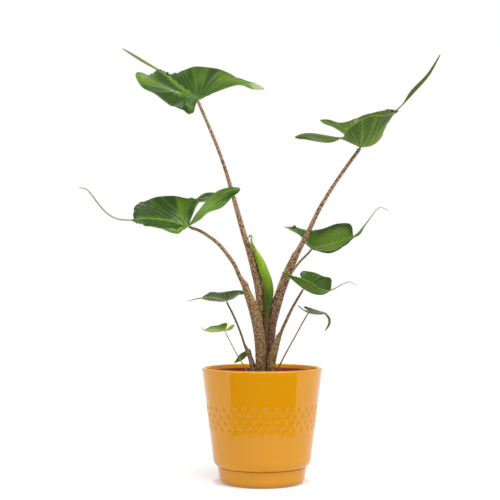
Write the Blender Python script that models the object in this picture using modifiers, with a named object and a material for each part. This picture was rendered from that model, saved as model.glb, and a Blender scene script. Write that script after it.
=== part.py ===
"""A potted alocasia: eight tailed leaves, a rolled one and a young one, in a nursery pot in a glazed pot.

The origin is the middle of the glazed pot's base, +Z is up and -Y faces the viewer.
All sizes below are in millimetres. MM turns them into the metres of the scene.
"""

import math

import bmesh
import bpy
import numpy as np
from mathutils import Matrix, Vector

MM = 0.001
MERGE = 0.00001

# Glazed pot
POT_HEIGHT = 133.0
LIP_RADIUS = 70.3
LIP_ROUND = 2.2
WALL = 4.4
SHOULDER_Z = 33.0
SHOULDER_RADIUS = 57.9
SHOULDER_BOTTOM_RADIUS = 51.6
FOOT_TOP_Z = 19.6
FOOT_TOP_RADIUS = 51.8
FOOT_GROOVE = 0.7
FOOT_BEVEL = 1.0
TOE_Z = 8.5
TOE_RADIUS = 50.2
BASE_RADIUS = 44.0
POT_FLOOR_Z = 7.0
FOOT_HOLLOW_RADIUS = 46.4
FOOT_HOLLOW_ROUND = 2.0
LEDGE_Z = 24.3
LEDGE_RADIUS = 52.4
POT_STEPS = 48
ARC_STEPS = 6
CURVE_STEPS = 5

# Relief of the glazed pot: staggered rows of sunk lozenges, whose four facets meet at a point
LOZENGE_ROWS_Z = (89.0, 81.4, 73.8, 66.2)
LOZENGES_ROUND = 32
LOZENGE_PHASE = 0.35
LOZENGE_HALF_WIDTH = 4.0
LOZENGE_HALF_HEIGHT = 4.9
LOZENGE_DEPTH = 1.2
LOZENGE_OVERSHOOT = 1.0

# Nursery pot, which stands on the ledge above the foot
GAP = 0.3
NURSERY_BASE_RADIUS = 48.6
NURSERY_TOP_Z = 129.0
NURSERY_RIM_RADIUS = 60.0
NURSERY_RIM_HEIGHT = 8.0
NURSERY_RIM_WIDTH = 1.6
NURSERY_RIM_EDGE = 0.8
NURSERY_NECK_RADIUS = 58.2
NURSERY_WALL = 1.3
NURSERY_STEPS = 32
DRAIN_HOLES = 6
DRAIN_RADIUS = 4.0
DRAIN_CIRCLE = 32.0
DRAIN_SIDES = 10

# Potting soil
SOIL_EDGE_Z = 115.5
SOIL_CROWN = 2.0
SOIL_RINGS = 5
STEM_FOOT_Z = 86.0
HOLE_CLEARANCE = 0.6

# Leaves
BLADE_THICKNESS = 0.8
SHEET_STEPS = 2
SHEET_COLUMNS = {"large": 4, "small": 3}
YOUNG_COLUMNS = 2
TIP_ROUNDING = 0.6
TAIL_STEPS = 2

# Stems: the bevel of a thick one has more sides
STEM_STEPS = 2
THICK_STEM = 1.5
THICK_BEVEL = 3
THIN_BEVEL = 2

# Top of each stalk, measured from the middle of the blade's thickness
NOSE_DROP = 0.95
NOSE_LENGTH = 2.2
NOSE_TAPER = 0.4

# Each blade has a near and a far half. A half is three lines: the inner one follows the edge of the notch
# and then the midrib, the middle one runs over the wing, and the outer one is the margin. All three start at
# the tip of the rear lobe and end at the neck of the tail. Lobe rows give (inner, middle, outer), up to the
# stalk. Wing rows give (middle, outer) beside each midrib point, the stalk's own first.
BLADES = {
    "1": dict(
        size="large",
        midrib=[(-77, 30, 451.5), (-88, 38, 461), (-101, 47, 472.5), (-115, 56, 486)],
        near_tip=(-82, -28, 426.5),
        near_lobe=[
            ((-78.5, -22, 435), (-84, -28, 435.5), (-90, -29, 430)),
            ((-75.5, -8, 445.5), (-87, -20, 446), (-100.5, -32, 433.5)),
            ((-75, 12, 454), (-91.5, -8, 454), (-110.5, -32, 438.5)),
        ],
        near_wing=[
            ((-101, -4, 457), (-123.5, -30, 448.5)),
            ((-116.5, 0, 462.5), (-139.5, -20, 459)),
            ((-131, 12, 473), (-148, -4, 478.5)),
            ((-128, 38, 482.5), (-135.5, 26, 482)),
        ],
        far_tip=(3.5, 40, 467.5),
        far_lobe=[
            ((-11, 38, 466.5), (-10, 42, 471), (-8, 47, 476)),
            ((-28.5, 36, 471), (-27, 48, 477), (-24, 60, 482.5)),
            ((-56.5, 33, 461.5), (-51, 54, 478), (-41.5, 72, 493.5)),
        ],
        far_wing=[
            ((-69.5, 56, 476.5), (-61.5, 80, 501.5)),
            ((-84.5, 60, 480.5), (-79.5, 84, 504)),
            ((-99.5, 64, 485), (-97, 84, 499)),
            ((-114, 66, 489.5), (-112.5, 76, 493)),
        ],
        tail=[(-128.5, 64, 496), (-145.5, 72, 507), (-160.5, 80, 517.5), (-174.5, 86, 527)],
        tail_half=[1.4, 2.1, 1.9, 0.5],
        tail_face=(0.2, -0.75, 0.6),
    ),
    "2": dict(
        size="large",
        midrib=[(117, 10, 392), (130, 6, 394), (139.5, 0, 401.5), (145.5, -6, 416)],
        near_tip=(38.5, -6, 402.5),
        near_lobe=[
            ((54.5, -4, 407.5), (52.5, -10, 403), (50, -12, 399)),
            ((75.5, 0, 405.5), (76, -10, 399.5), (78, -16, 394)),
            ((94.5, 5, 402), (93, -6, 401.5), (93, -18, 400.5)),
        ],
        near_wing=[
            ((110, -8, 399), (101.5, -25, 411)),
            ((124.5, -16, 404.5), (115.5, -34, 419.5)),
            ((136, -18, 410), (131.5, -36, 423)),
            ((145, -16, 418.5), (145.5, -26, 425)),
        ],
        far_tip=(71, 40, 429.5),
        far_lobe=[
            ((78, 36, 424), (79.5, 42, 427), (82.5, 46, 430)),
            ((87, 30, 419.5), (90, 38, 423.5), (93, 44, 427)),
            ((99.5, 20, 409), (103, 32, 417.5), (107.5, 44, 429)),
        ],
        far_wing=[
            ((122, 30, 411), (122, 42, 435)),
            ((135.5, 20, 413), (133.5, 34, 437)),
            ((143, 12, 418), (143, 24, 438)),
            ((149, 2, 426), (151, 8, 437.5)),
        ],
        tail=[(156.5, -12, 432.5), (164.5, -15, 440), (174.5, -20, 453), (192, -26, 472), (205, -32, 494)],
        tail_half=[1.0, 0.7, 2.8, 2.0, 0.5],
        tail_face=(-0.3, -0.8, 0.5),
    ),
    "3": dict(
        size="large",
        midrib=[
            (-86, -10, 297), (-102.5, -12, 302.5), (-120, -12, 305.5),
            (-136.5, -10, 306.5), (-144.5, -9, 306),
        ],
        near_tip=(-25.5, -22, 340.5),
        near_lobe=[
            ((-41, -16, 342), (-38, -19, 338), (-34.5, -22, 331.5)),
            ((-56, -12, 336), (-51, -18, 328), (-46.5, -24, 318.5)),
            ((-72.5, -10, 318.5), (-68.5, -18, 314.5), (-63.5, -26, 310.5)),
        ],
        near_wing=[
            ((-89, -24, 294), (-89.5, -38, 291.5)),
            ((-103.5, -30, 293.5), (-102, -46, 285.5)),
            ((-119.5, -30, 297.5), (-116, -46, 292.5)),
            ((-137.5, -24, 301), (-135.5, -36, 297.5)),
            ((-145, -16, 302.5), (-143.5, -22, 301)),
        ],
        far_tip=(-48.5, 18, 336),
        far_lobe=[
            ((-58, 16, 331), (-57.5, 20, 335.5), (-57, 22, 339.5)),
            ((-68, 12, 328.5), (-68, 20, 333.5), (-67.5, 24, 338.5)),
            ((-77, 6, 324.5), (-77, 16, 329.5), (-77, 24, 333)),
        ],
        far_wing=[
            ((-88.5, 8, 316.5), (-88.5, 24, 333.5)),
            ((-106, 6, 319), (-107.5, 26, 335.5)),
            ((-124, 8, 320), (-126.5, 24, 334)),
            ((-139.5, 4, 317.5), (-141, 16, 328.5)),
            ((-148.5, 0, 313.5), (-150.5, 6, 321)),
        ],
        tail=[
            (-150, -8, 304.5), (-168, -6, 306), (-181, -4, 312.5), (-191, -2, 323),
            (-199.5, 0, 334), (-206.5, 2, 341.5), (-215.5, 4, 344),
        ],
        tail_half=[0.9, 0.8, 0.8, 0.8, 0.7, 0.6, 0.3],
        tail_face=(0, -0.8, 0.6),
    ),
    "4": dict(
        size="small",
        midrib=[(61, 32, 273), (76, 30, 276.5), (94, 28, 281.5)],
        near_tip=(45.5, 24, 288.5),
        near_lobe=[
            ((50, 26, 283.5), (50, 22, 282.5), (50, 18, 282.5)),
            ((55.5, 29, 278), (55, 20, 276), (56, 12, 277.5)),
        ],
        near_wing=[
            ((63, 16, 270.5), (67, 2, 270)),
            ((78, 10, 269.5), (81, -4, 266)),
            ((97.5, 14, 277), (99, 4, 276.5)),
        ],
        far_tip=(27.5, 60, 301),
        far_lobe=[
            ((44, 52, 292), (42.5, 56, 296), (41, 58, 300.5)),
            ((52.5, 42, 284.5), (54.5, 52, 290.5), (56, 58, 296.5)),
        ],
        far_wing=[
            ((66.5, 48, 286.5), (74.5, 60, 298)),
            ((84, 44, 291), (93.5, 56, 304.5)),
            ((100.5, 36, 294.5), (108, 44, 302.5)),
        ],
        tail=[
            (110, 26, 287), (116, 25, 290.5), (122.5, 24, 299.5), (130.5, 22, 310.5),
            (137, 20, 319), (142, 19, 321.5), (150, 17, 318.5),
        ],
        tail_half=[0.7, 0.5, 0.4, 0.4, 0.4, 0.35, 0.3],
        tail_face=(0, -0.8, 0.6),
    ),
    "5": dict(
        size="small",
        midrib=[(47.5, -20, 224.5), (58.5, -24, 219), (70, -28, 218)],
        near_tip=(22, -42, 243.5),
        near_lobe=[
            ((32.5, -36, 236.5), (33, -39, 238), (34, -42, 239.5)),
            ((41, -28, 229.5), (42, -36, 233), (44, -42, 236.5)),
        ],
        near_wing=[
            ((50, -34, 228), (54, -44, 232)),
            ((61, -36, 222.5), (65.5, -42, 225)),
            ((72, -34, 221), (74, -37, 223)),
        ],
        far_tip=(45, 6, 242),
        far_lobe=[
            ((46, 2, 238), (46.5, 4, 241.5), (48.5, 6, 245.5)),
            ((46.5, -8, 231.5), (50.5, 0, 237.5), (55, 8, 245)),
        ],
        far_wing=[
            ((56, -6, 233.5), (63.5, 4, 243)),
            ((65, -10, 230), (72.5, 0, 239)),
            ((75, -16, 226.5), (80.5, -8, 236)),
        ],
        tail=[(78.5, -30, 223), (84, -32, 225.5), (92, -34, 230), (99.5, -36, 232.5), (106.5, -38, 229)],
        tail_half=[0.7, 0.5, 0.4, 0.35, 0.3],
        tail_face=(0, -0.8, 0.6),
    ),
    "6": dict(
        size="small",
        midrib=[(55, 0, 197.5), (64.5, 0, 197)],
        near_tip=(41.5, -14, 205.5),
        near_lobe=[
            ((47.5, -8, 201), (45.5, -11, 201.5), (44.5, -14, 202.5)),
        ],
        near_wing=[
            ((54, -9, 196.5), (53, -18, 197.5)),
            ((64, -8, 195.5), (63.5, -15, 195)),
        ],
        far_tip=(49.5, 14, 203.5),
        far_lobe=[
            ((52, 9, 201), (52, 12, 202), (53.5, 15, 203)),
        ],
        far_wing=[
            ((58, 9, 199), (60, 18, 201)),
            ((66, 8, 198), (67.5, 14, 198.5)),
        ],
        tail=[(74.5, 2, 195.5), (78.5, 2, 190), (79, 2, 184.5), (77, 2, 180), (73.5, 2, 175)],
        tail_half=[1.2, 1.1, 1.0, 0.8, 0.3],
        tail_face=(0.4, -0.8, 0.4),
    ),
    "7": dict(
        size="small",
        midrib=[(-42, 6, 210.5), (-51.5, 6, 213), (-61.5, 6, 214.5)],
        near_tip=(-25.5, -8, 220.5),
        near_lobe=[
            ((-31.5, -2, 218), (-32, -8, 216), (-31.5, -14, 214.5)),
        ],
        near_wing=[
            ((-42, -6, 210.5), (-41, -18, 210.5)),
            ((-52, -6, 211.5), (-51, -18, 210)),
            ((-62, -3, 212), (-61.5, -11, 211)),
        ],
        far_tip=(-19, 30, 219),
        far_lobe=[
            ((-28.5, 22, 217.5), (-28, 26, 220), (-26.5, 30, 222.5)),
        ],
        far_wing=[
            ((-39.5, 20, 216.5), (-37.5, 32, 222)),
            ((-51, 18, 217.5), (-50, 28, 220)),
            ((-61.5, 13, 218), (-61, 20, 220.5)),
        ],
        tail=[(-71, 4, 213.5), (-76.5, 3, 213), (-82, 2, 211.5), (-86.5, 0, 210)],
        tail_half=[0.7, 0.5, 0.4, 0.3],
        tail_face=(0, -0.8, 0.6),
    ),
    "8": dict(
        size="small",
        midrib=[(-43, -8, 175), (-57, -8, 177)],
        near_tip=(-31.5, -16, 183),
        near_lobe=[
            ((-37.5, -12, 181), (-36.5, -16, 179.5), (-36.5, -20, 177.5)),
        ],
        near_wing=[
            ((-46.5, -16, 176.5), (-48, -24, 175.5)),
            ((-57.5, -15, 176), (-58, -20, 174.5)),
        ],
        far_tip=(-41, 8, 183.5),
        far_lobe=[
            ((-41.5, 2, 180), (-43.5, 6, 181.5), (-45, 9, 184)),
        ],
        far_wing=[
            ((-48, 2, 178.5), (-52, 10, 181.5)),
            ((-58.5, -1, 178.5), (-60, 5, 180.5)),
        ],
        tail=[(-67.5, -8, 176.5), (-69, -8, 178), (-70.5, -8, 181.5)],
        tail_half=[0.7, 0.5, 0.3],
        tail_face=(0, -0.8, 0.6),
    ),
}

# Leaf stalks, from the blade down to the soil: (x, y, z, radius). They widen into a sheath above the soil.
STALKS = {
    "1": [
        (-76.5, 30, 450, 1.9), (-69, 28, 432.5, 1.9), (-55.5, 24, 400.5, 2.0), (-45, 21, 371.5, 2.1),
        (-35.5, 18.5, 340, 2.5), (-27.5, 16, 311, 3.0), (-20, 13, 285, 3.4), (-14, 11.5, 268, 4.4),
        (-8, 10, 247, 5.3), (-3.5, 9, 225.5, 5.2), (-1.2, 8.8, 199.5, 5.2), (-2, 10, 165, 5.3),
        (-2.5, 10.5, 128, 5.3),
    ],
    "2": [
        (116.5, 10, 390.5, 2.1), (106, 9.5, 377, 2.1), (86, 8.5, 348.5, 2.1), (68.5, 7.5, 320, 2.4),
        (54.5, 6.5, 291.5, 2.8), (43.5, 6, 270.5, 3.3), (35.5, 5.5, 255, 4.6), (27.5, 5.5, 236, 5.4),
        (22, 5.5, 221, 5.5), (16, 6, 202, 6.0), (11, 6.5, 182, 6.2), (9.5, 7, 158.5, 6.0), (9.5, 7, 128, 6.0),
    ],
    "3": [
        (-85.5, -10, 295.5, 1.7), (-76, -10, 293.5, 1.8), (-64, -10, 287, 1.9), (-50.5, -10, 276.5, 2.1),
        (-40.5, -10, 264.5, 2.2), (-32.5, -10, 253, 2.3), (-26.5, -9.5, 240, 2.5), (-21, -9.5, 229.5, 3.3),
        (-16.5, -9, 218.5, 4.6), (-11, -9, 204.5, 5.8), (-6.5, -9.5, 188.5, 6.3), (-3.5, -10, 171, 6.4),
        (-2, -10, 153.5, 6.2), (-1.5, -10, 128, 6.1),
    ],
    "4": [
        (61, 32, 272, 1.2), (52, 30, 263.5, 1.3), (43.5, 28, 254.5, 1.4), (33.5, 25, 240, 1.5),
        (23, 21, 216, 1.7), (15.5, 18.5, 185.5, 1.8), (12.5, 17, 158, 1.9), (12, 17, 128, 1.9),
    ],
    "5": [
        (47, -20, 223, 1.3), (41, -19, 213.5, 1.4), (33.5, -17, 200, 1.6), (27, -15, 186, 1.8),
        (21.5, -13, 173.5, 2.2), (17.5, -11.5, 163, 3.5), (14, -10.5, 151.5, 4.5), (11, -9.5, 139.5, 5.0),
        (10.5, -9, 128, 5.1),
    ],
    "6": [
        (54.5, 0, 196.5, 0.8), (47.5, 0, 185, 0.85), (40.5, 0, 172, 0.9), (32, -0.5, 157, 0.9),
        (24.5, -1, 143, 0.95), (18, -1, 128, 1.0),
    ],
    "7": [
        (-42, 6, 209, 1.0), (-36.5, 4.5, 199.5, 1.1), (-30, 3, 185.5, 1.2), (-24.5, 1, 171.5, 1.4),
        (-20.5, -0.5, 159.5, 1.9), (-16.5, -1.5, 151, 3.2), (-12.5, -2.5, 140.5, 3.9), (-10, -3, 128, 4.1),
    ],
    "8": [
        (-43, -8, 174, 0.65), (-37.5, -7.5, 164, 0.65), (-31, -7, 151.5, 0.7), (-24.5, -6.5, 140.5, 0.75),
        (-17.5, -6, 128, 0.8),
    ],
}

# The new leaf, still rolled: (x, y, z, radius) from the hooked tip of its tail down to the soil
ROLLED_LEAF = [
    (-15.5, 5, 284.5, 0.5), (-14, 5, 287.5, 0.5), (-12, 5, 286, 0.5), (-12.5, 5, 281.5, 0.6),
    (-10.5, 5, 275.5, 0.9), (-8, 5, 270.5, 1.5), (-4.5, 4.5, 263, 2.5), (-1, 4.5, 255.5, 3.5),
    (2.5, 4, 245.5, 4.1), (6.5, 4, 234, 4.3), (8, 3.5, 223, 4.5), (8, 3, 212.5, 4.0), (6.5, 2, 202, 3.0),
    (5.5, 0.5, 190.5, 2.3), (4.5, -0.5, 176.5, 2.1), (4.5, -0.5, 153, 2.0), (4.5, -0.5, 128, 2.0),
]

# The young leaf, low on the left: its stalk, and a blade that hangs from the stalk's top
YOUNG_STALK = [(-14, 6, 152, 1.0), (-13, 6, 148, 1.0), (-12.5, 5.5, 141, 1.0), (-12.5, 5, 128, 1.0)]
YOUNG_BLADE = dict(
    spine=[(-13.2, 6, 152.4), (-18.5, 5, 148.5), (-25, 3, 143.5), (-33, 0, 137.5)],
    near_half=[(-18, 2.5, 146), (-24, 0, 141)],
    far_half=[(-20, 7.5, 151), (-27, 6, 146.5)],
)

# Colours as red, green and blue from 0 to 255, with roughness
GLAZE = ((222, 152, 18), 0.12)
NURSERY_PLASTIC = ((104, 38, 18), 0.5)
SOIL = ((54, 38, 27), 0.95)
LEAF_GREEN = ((72, 112, 44), 0.32)
LEAF_PALE = ((132, 158, 74), 0.4)
STALK_BROWN = ((142, 112, 82), 0.5)
NEW_GREEN = ((96, 142, 22), 0.35)


def clear_scene():
    for obj in list(bpy.data.objects):
        bpy.data.objects.remove(obj)


def new_collection(name, hidden=False):
    collection = bpy.data.collections.new(name)
    collection.hide_render = hidden
    bpy.context.scene.collection.children.link(collection)
    return collection


def linear(channel):
    share = channel / 255
    return share / 12.92 if share <= 0.04045 else ((share + 0.055) / 1.055) ** 2.4


def material(name, finish):
    """A Principled material from a colour of 0 to 255 and a roughness."""
    colour, roughness = finish
    made = bpy.data.materials.get(name)
    if made is None:
        made = bpy.data.materials.new(name)
        made.use_nodes = True
        shader = made.node_tree.nodes["Principled BSDF"]
        shader.inputs["Base Color"].default_value = [linear(c) for c in colour] + [1]
        shader.inputs["Roughness"].default_value = roughness
        shader.inputs["Metallic"].default_value = 0.0
    return made


def add_mesh(name, mesh, collection, finish=None):
    obj = bpy.data.objects.new(name, mesh)
    collection.objects.link(obj)
    if finish:
        mesh.materials.append(material(*finish))
    return obj


def mesh_from(bm, name):
    mesh = bpy.data.meshes.new(name)
    bm.to_mesh(mesh)
    bm.free()
    return mesh


def turned(name, profile, steps, collection, finish=None):
    """A solid of revolution about Z. The profile runs from the axis up the inside, then down the outside."""
    mesh = bpy.data.meshes.new(name)
    points = [(radius * MM, 0, z * MM) for radius, z in profile]
    mesh.from_pydata(points, [(i, i + 1) for i in range(len(points) - 1)], [])
    obj = add_mesh(name, mesh, collection, finish)
    screw = obj.modifiers.new("turn", "SCREW")
    screw.steps = steps
    screw.render_steps = steps
    screw.use_merge_vertices = True
    screw.merge_threshold = MERGE
    screw.use_smooth_shade = True
    return obj


def boolean(obj, other, operation):
    cut = obj.modifiers.new(operation.lower(), "BOOLEAN")
    cut.operation = operation
    cut.object = other
    return cut


def arc(centre, radius, start, end, count):
    """Points on an arc in the profile plane, angles in degrees from +r towards +z."""
    turn = [math.radians(start + (end - start) * i / count) for i in range(count + 1)]
    return [(centre[0] + radius * math.cos(a), centre[1] + radius * math.sin(a)) for a in turn]


def wall_radius(z):
    """Outer radius of the tapered wall."""
    top = POT_HEIGHT - LIP_ROUND
    share = (z - SHOULDER_Z) / (top - SHOULDER_Z)
    return SHOULDER_RADIUS + share * (LIP_RADIUS - SHOULDER_RADIUS)


def quarter_round(start, end, count):
    """A quarter of an ellipse that leaves start straight down and arrives at end level."""
    turn = [math.pi / 2 * i / count for i in range(count + 1)]
    across = start[0] - end[0]
    down = start[1] - end[1]
    return [(end[0] + across * math.cos(a), start[1] - down * math.sin(a)) for a in turn]


def pot_profile():
    lip = arc((LIP_RADIUS - LIP_ROUND, POT_HEIGHT - LIP_ROUND), LIP_ROUND, 180, 0, ARC_STEPS)
    inside = [
        (0, POT_FLOOR_Z),
        (FOOT_HOLLOW_RADIUS - FOOT_HOLLOW_ROUND, POT_FLOOR_Z),
        (FOOT_HOLLOW_RADIUS, POT_FLOOR_Z + FOOT_HOLLOW_ROUND),
        (FOOT_HOLLOW_RADIUS, LEDGE_Z),
        (LEDGE_RADIUS, LEDGE_Z),
        (SHOULDER_RADIUS - WALL, SHOULDER_Z),
    ]
    shoulder = quarter_round((SHOULDER_RADIUS, SHOULDER_Z), (SHOULDER_BOTTOM_RADIUS, FOOT_TOP_Z), CURVE_STEPS)
    groove = [
        (FOOT_TOP_RADIUS - FOOT_GROOVE, FOOT_TOP_Z),
        (FOOT_TOP_RADIUS, FOOT_TOP_Z - FOOT_BEVEL),
    ]
    toe = quarter_round((TOE_RADIUS, TOE_Z), (BASE_RADIUS, 0), CURVE_STEPS)
    return inside + lip + shoulder + groove + toe + [(0, 0)]


def lozenge_cutters(collection):
    """Every lozenge as a four-sided pyramid that points into the wall."""
    bm = bmesh.new()
    slope = math.atan2(LIP_RADIUS - SHOULDER_RADIUS, POT_HEIGHT - LIP_ROUND - SHOULDER_Z)
    height = LOZENGE_DEPTH + LOZENGE_OVERSHOOT
    spread = height / LOZENGE_DEPTH * MM
    size = Matrix.Diagonal((LOZENGE_HALF_HEIGHT * spread, LOZENGE_HALF_WIDTH * spread, 1, 1))
    inward = Matrix.Rotation(slope - math.pi / 2, 4, "Y")
    for row, z in enumerate(LOZENGE_ROWS_Z):
        centre = wall_radius(z) - LOZENGE_DEPTH + height / 2
        place = Matrix.Translation((centre * MM, 0, z * MM))
        for i in range(LOZENGES_ROUND):
            turn = 2 * math.pi * (i + LOZENGE_PHASE + 0.5 * (row % 2)) / LOZENGES_ROUND
            around = Matrix.Rotation(turn, 4, "Z")
            made = bmesh.ops.create_cone(
                bm, cap_ends=True, cap_tris=False, segments=4, radius1=1, radius2=0, depth=height * MM
            )
            bmesh.ops.transform(bm, matrix=around @ place @ inward @ size, verts=made["verts"])
    return add_mesh("lozenge_cutters", mesh_from(bm, "lozenge_cutters"), collection)


def build_pot(parts, cutters):
    finish = ("mustard_glaze", GLAZE)
    pot = turned("pot", pot_profile(), POT_STEPS, parts, finish)
    boolean(pot, lozenge_cutters(cutters), "DIFFERENCE")


def nursery_inner_radius(z):
    """Inner radius of the nursery pot's tapered wall."""
    foot_z = LEDGE_Z + GAP
    neck_z = NURSERY_TOP_Z - NURSERY_RIM_HEIGHT
    share = (z - foot_z) / (neck_z - foot_z)
    return NURSERY_BASE_RADIUS + share * (NURSERY_NECK_RADIUS - NURSERY_BASE_RADIUS) - NURSERY_WALL


def build_nursery_pot(parts, cutters):
    foot_z = LEDGE_Z + GAP
    floor_z = foot_z + NURSERY_WALL
    neck_z = NURSERY_TOP_Z - NURSERY_RIM_HEIGHT
    profile = [
        (0, floor_z),
        (nursery_inner_radius(floor_z), floor_z),
        (nursery_inner_radius(neck_z), neck_z),
        (NURSERY_RIM_RADIUS - NURSERY_RIM_WIDTH, NURSERY_TOP_Z - NURSERY_RIM_EDGE),
        (NURSERY_RIM_RADIUS - NURSERY_RIM_EDGE, NURSERY_TOP_Z),
        (NURSERY_RIM_RADIUS, NURSERY_TOP_Z - NURSERY_RIM_EDGE),
        (NURSERY_RIM_RADIUS, neck_z),
        (NURSERY_NECK_RADIUS, neck_z),
        (NURSERY_BASE_RADIUS, foot_z + NURSERY_RIM_EDGE),
        (NURSERY_BASE_RADIUS - NURSERY_RIM_EDGE, foot_z),
        (0, foot_z),
    ]
    pot = turned("nursery_pot", profile, NURSERY_STEPS, parts, ("nursery_plastic", NURSERY_PLASTIC))
    bm = bmesh.new()
    for i in range(DRAIN_HOLES):
        turn = 2 * math.pi * i / DRAIN_HOLES
        place = Vector((math.cos(turn) * DRAIN_CIRCLE, math.sin(turn) * DRAIN_CIRCLE, foot_z)) * MM
        bmesh.ops.create_cone(
            bm,
            cap_ends=True,
            segments=DRAIN_SIDES,
            radius1=DRAIN_RADIUS * MM,
            radius2=DRAIN_RADIUS * MM,
            depth=4 * NURSERY_WALL * MM,
            matrix=Matrix.Translation(place),
        )
    boolean(pot, add_mesh("drain_cutter", mesh_from(bm, "drain_cutter"), cutters), "DIFFERENCE")


def through(points, steps):
    """A smooth line through the points, with so many steps from each point to the next."""
    points = np.asarray(points, float)
    ends = np.vstack([2 * points[0] - points[1], points, 2 * points[-1] - points[-2]])
    line = []
    for place in np.linspace(0, len(points) - 1, (len(points) - 1) * steps + 1):
        i = min(int(place), len(points) - 2)
        t = place - i
        a, b, c, d = ends[i : i + 4]
        slope = (c - a) * t
        bend = (2 * a - 5 * b + 4 * c - d) * t * t
        twist = (3 * b - a - 3 * c + d) * t * t * t
        line.append(0.5 * (2 * b + slope + bend + twist))
    return np.array(line)


def round_the_tip(inner, middle, outer):
    """Widens the first rows of a lobe so that its tip is round and not a sharp wedge."""
    for i in range(1, SHEET_STEPS):
        share = i / SHEET_STEPS
        widen = 1 + TIP_ROUNDING * (math.sqrt((2 - share) / share) - 1)
        for line in (inner, outer):
            line[i] = middle[i] + (line[i] - middle[i]) * widen


def tail_sides(centre, half, face, towards):
    """Points along one edge of the tail, whose flat side turns to face. It starts on the side of towards."""
    edge = []
    for i in range(len(centre)):
        along = centre[min(i + 1, len(centre) - 1)] - centre[max(i - 1, 0)]
        side = np.cross(along, face)
        side = side / np.linalg.norm(side)
        if side @ towards < 0:
            side = -side
        towards = side
        edge.append(centre[i] + side * half[i])
    return np.array(edge)


def half_blade(leaf, half, columns):
    """Rows of points for one half, from the lobe's tip to the tail's end, inner line first."""
    tip = leaf[half + "_tip"]
    lobe = leaf[half + "_lobe"]
    wing = leaf[half + "_wing"]
    neck = np.array(leaf["tail"][0], float)
    centre = through(leaf["tail"], TAIL_STEPS)
    widths = through(np.array(leaf["tail_half"])[:, None], TAIL_STEPS)[:, 0]
    towards = np.array(wing[-1][1], float) - neck
    edge = tail_sides(centre, widths, np.array(leaf["tail_face"]), towards)

    notch = [tip] + [row[0] for row in lobe] + [leaf["midrib"][0]]
    rib = leaf["midrib"] + [tuple(neck)]
    inner = np.vstack([through(notch, SHEET_STEPS)[:-1], through(rib, SHEET_STEPS)])
    middle = [tip] + [row[1] for row in lobe] + [row[0] for row in wing] + [(neck + edge[0]) / 2]
    outer = [tip] + [row[2] for row in lobe] + [row[1] for row in wing] + [edge[0]]
    middle = through(middle, SHEET_STEPS)
    outer = through(outer, SHEET_STEPS)
    round_the_tip(inner, middle, outer)

    v = np.linspace(0, 1, columns + 1)[None, :, None]
    blade = (1 - v) * (1 - 2 * v) * inner[:, None]
    blade = blade + 4 * v * (1 - v) * middle[:, None]
    blade = blade + v * (2 * v - 1) * outer[:, None]
    blade[-1] = np.where(v[0] < 0.5, centre[0], edge[0])
    tail = np.where(v < 0.5, centre[1:, None], edge[1:, None])
    return np.concatenate([blade, tail])


def sheet_from(bm, rows):
    """Adds a grid to the mesh and moves its points onto the rows."""
    down = len(rows) - 1
    across = len(rows[0]) - 1
    made = bmesh.ops.create_grid(bm, x_segments=across, y_segments=down, size=1)
    for vertex in made["verts"]:
        column = round((vertex.co.x + 1) / 2 * across)
        row = round((vertex.co.y + 1) / 2 * down)
        vertex.co = Vector(rows[row][column]) * MM


def thicken(obj):
    """Gives a sheet its thickness. It is cut into triangles first, so that both faces are cut alike."""
    obj.modifiers.new("triangles", "TRIANGULATE")
    solid = obj.modifiers.new("thickness", "SOLIDIFY")
    solid.thickness = BLADE_THICKNESS * MM
    solid.offset = 0


def build_blade(key, leaf, parts):
    columns = SHEET_COLUMNS[leaf["size"]]
    bm = bmesh.new()
    for half in ("near", "far"):
        sheet_from(bm, half_blade(leaf, half, columns))
    bmesh.ops.remove_doubles(bm, verts=bm.verts, dist=MERGE)
    bmesh.ops.recalc_face_normals(bm, faces=bm.faces)
    name = "blade_" + key
    finish = ("leaf_pale", LEAF_PALE) if key == "8" else ("leaf_green", LEAF_GREEN)
    obj = add_mesh(name, mesh_from(bm, name), parts, finish)
    thicken(obj)


def stem_points(knots, grow=0.0, deeper=0.0):
    """Points and radii along a stem, which goes on straight down from its last knot into the soil."""
    line = [tuple(p) for p in through(knots, STEM_STEPS)]
    x, y, z, radius = line[-1]
    line.append((x, y, STEM_FOOT_Z - deeper, radius))
    return [(x, y, z, radius + grow) for x, y, z, radius in line]


def stem_curve(name, points, bevel, collection, finish=None):
    curve = bpy.data.curves.new(name, "CURVE")
    curve.dimensions = "3D"
    curve.bevel_depth = MM
    curve.bevel_resolution = bevel
    curve.use_fill_caps = True
    spline = curve.splines.new("POLY")
    spline.points.add(len(points) - 1)
    for point, (x, y, z, radius) in zip(spline.points, points):
        point.co = (x * MM, y * MM, z * MM, 1)
        point.radius = radius
    obj = bpy.data.objects.new(name, curve)
    collection.objects.link(obj)
    if finish:
        curve.materials.append(material(*finish))
    return obj


def meshed(obj, collection):
    """The curve object as a closed mesh object, in its place."""
    graph = bpy.context.evaluated_depsgraph_get()
    mesh = bpy.data.meshes.new_from_object(obj.evaluated_get(graph))
    bm = bmesh.new()
    bm.from_mesh(mesh)
    bmesh.ops.remove_doubles(bm, verts=bm.verts, dist=MERGE)
    bmesh.ops.recalc_face_normals(bm, faces=bm.faces)
    bm.to_mesh(mesh)
    bm.free()
    name = obj.name
    place = obj.matrix_world.copy()
    bpy.data.objects.remove(obj)
    made = bpy.data.objects.new(name, mesh)
    made.matrix_world = place
    collection.objects.link(made)
    return made


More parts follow.
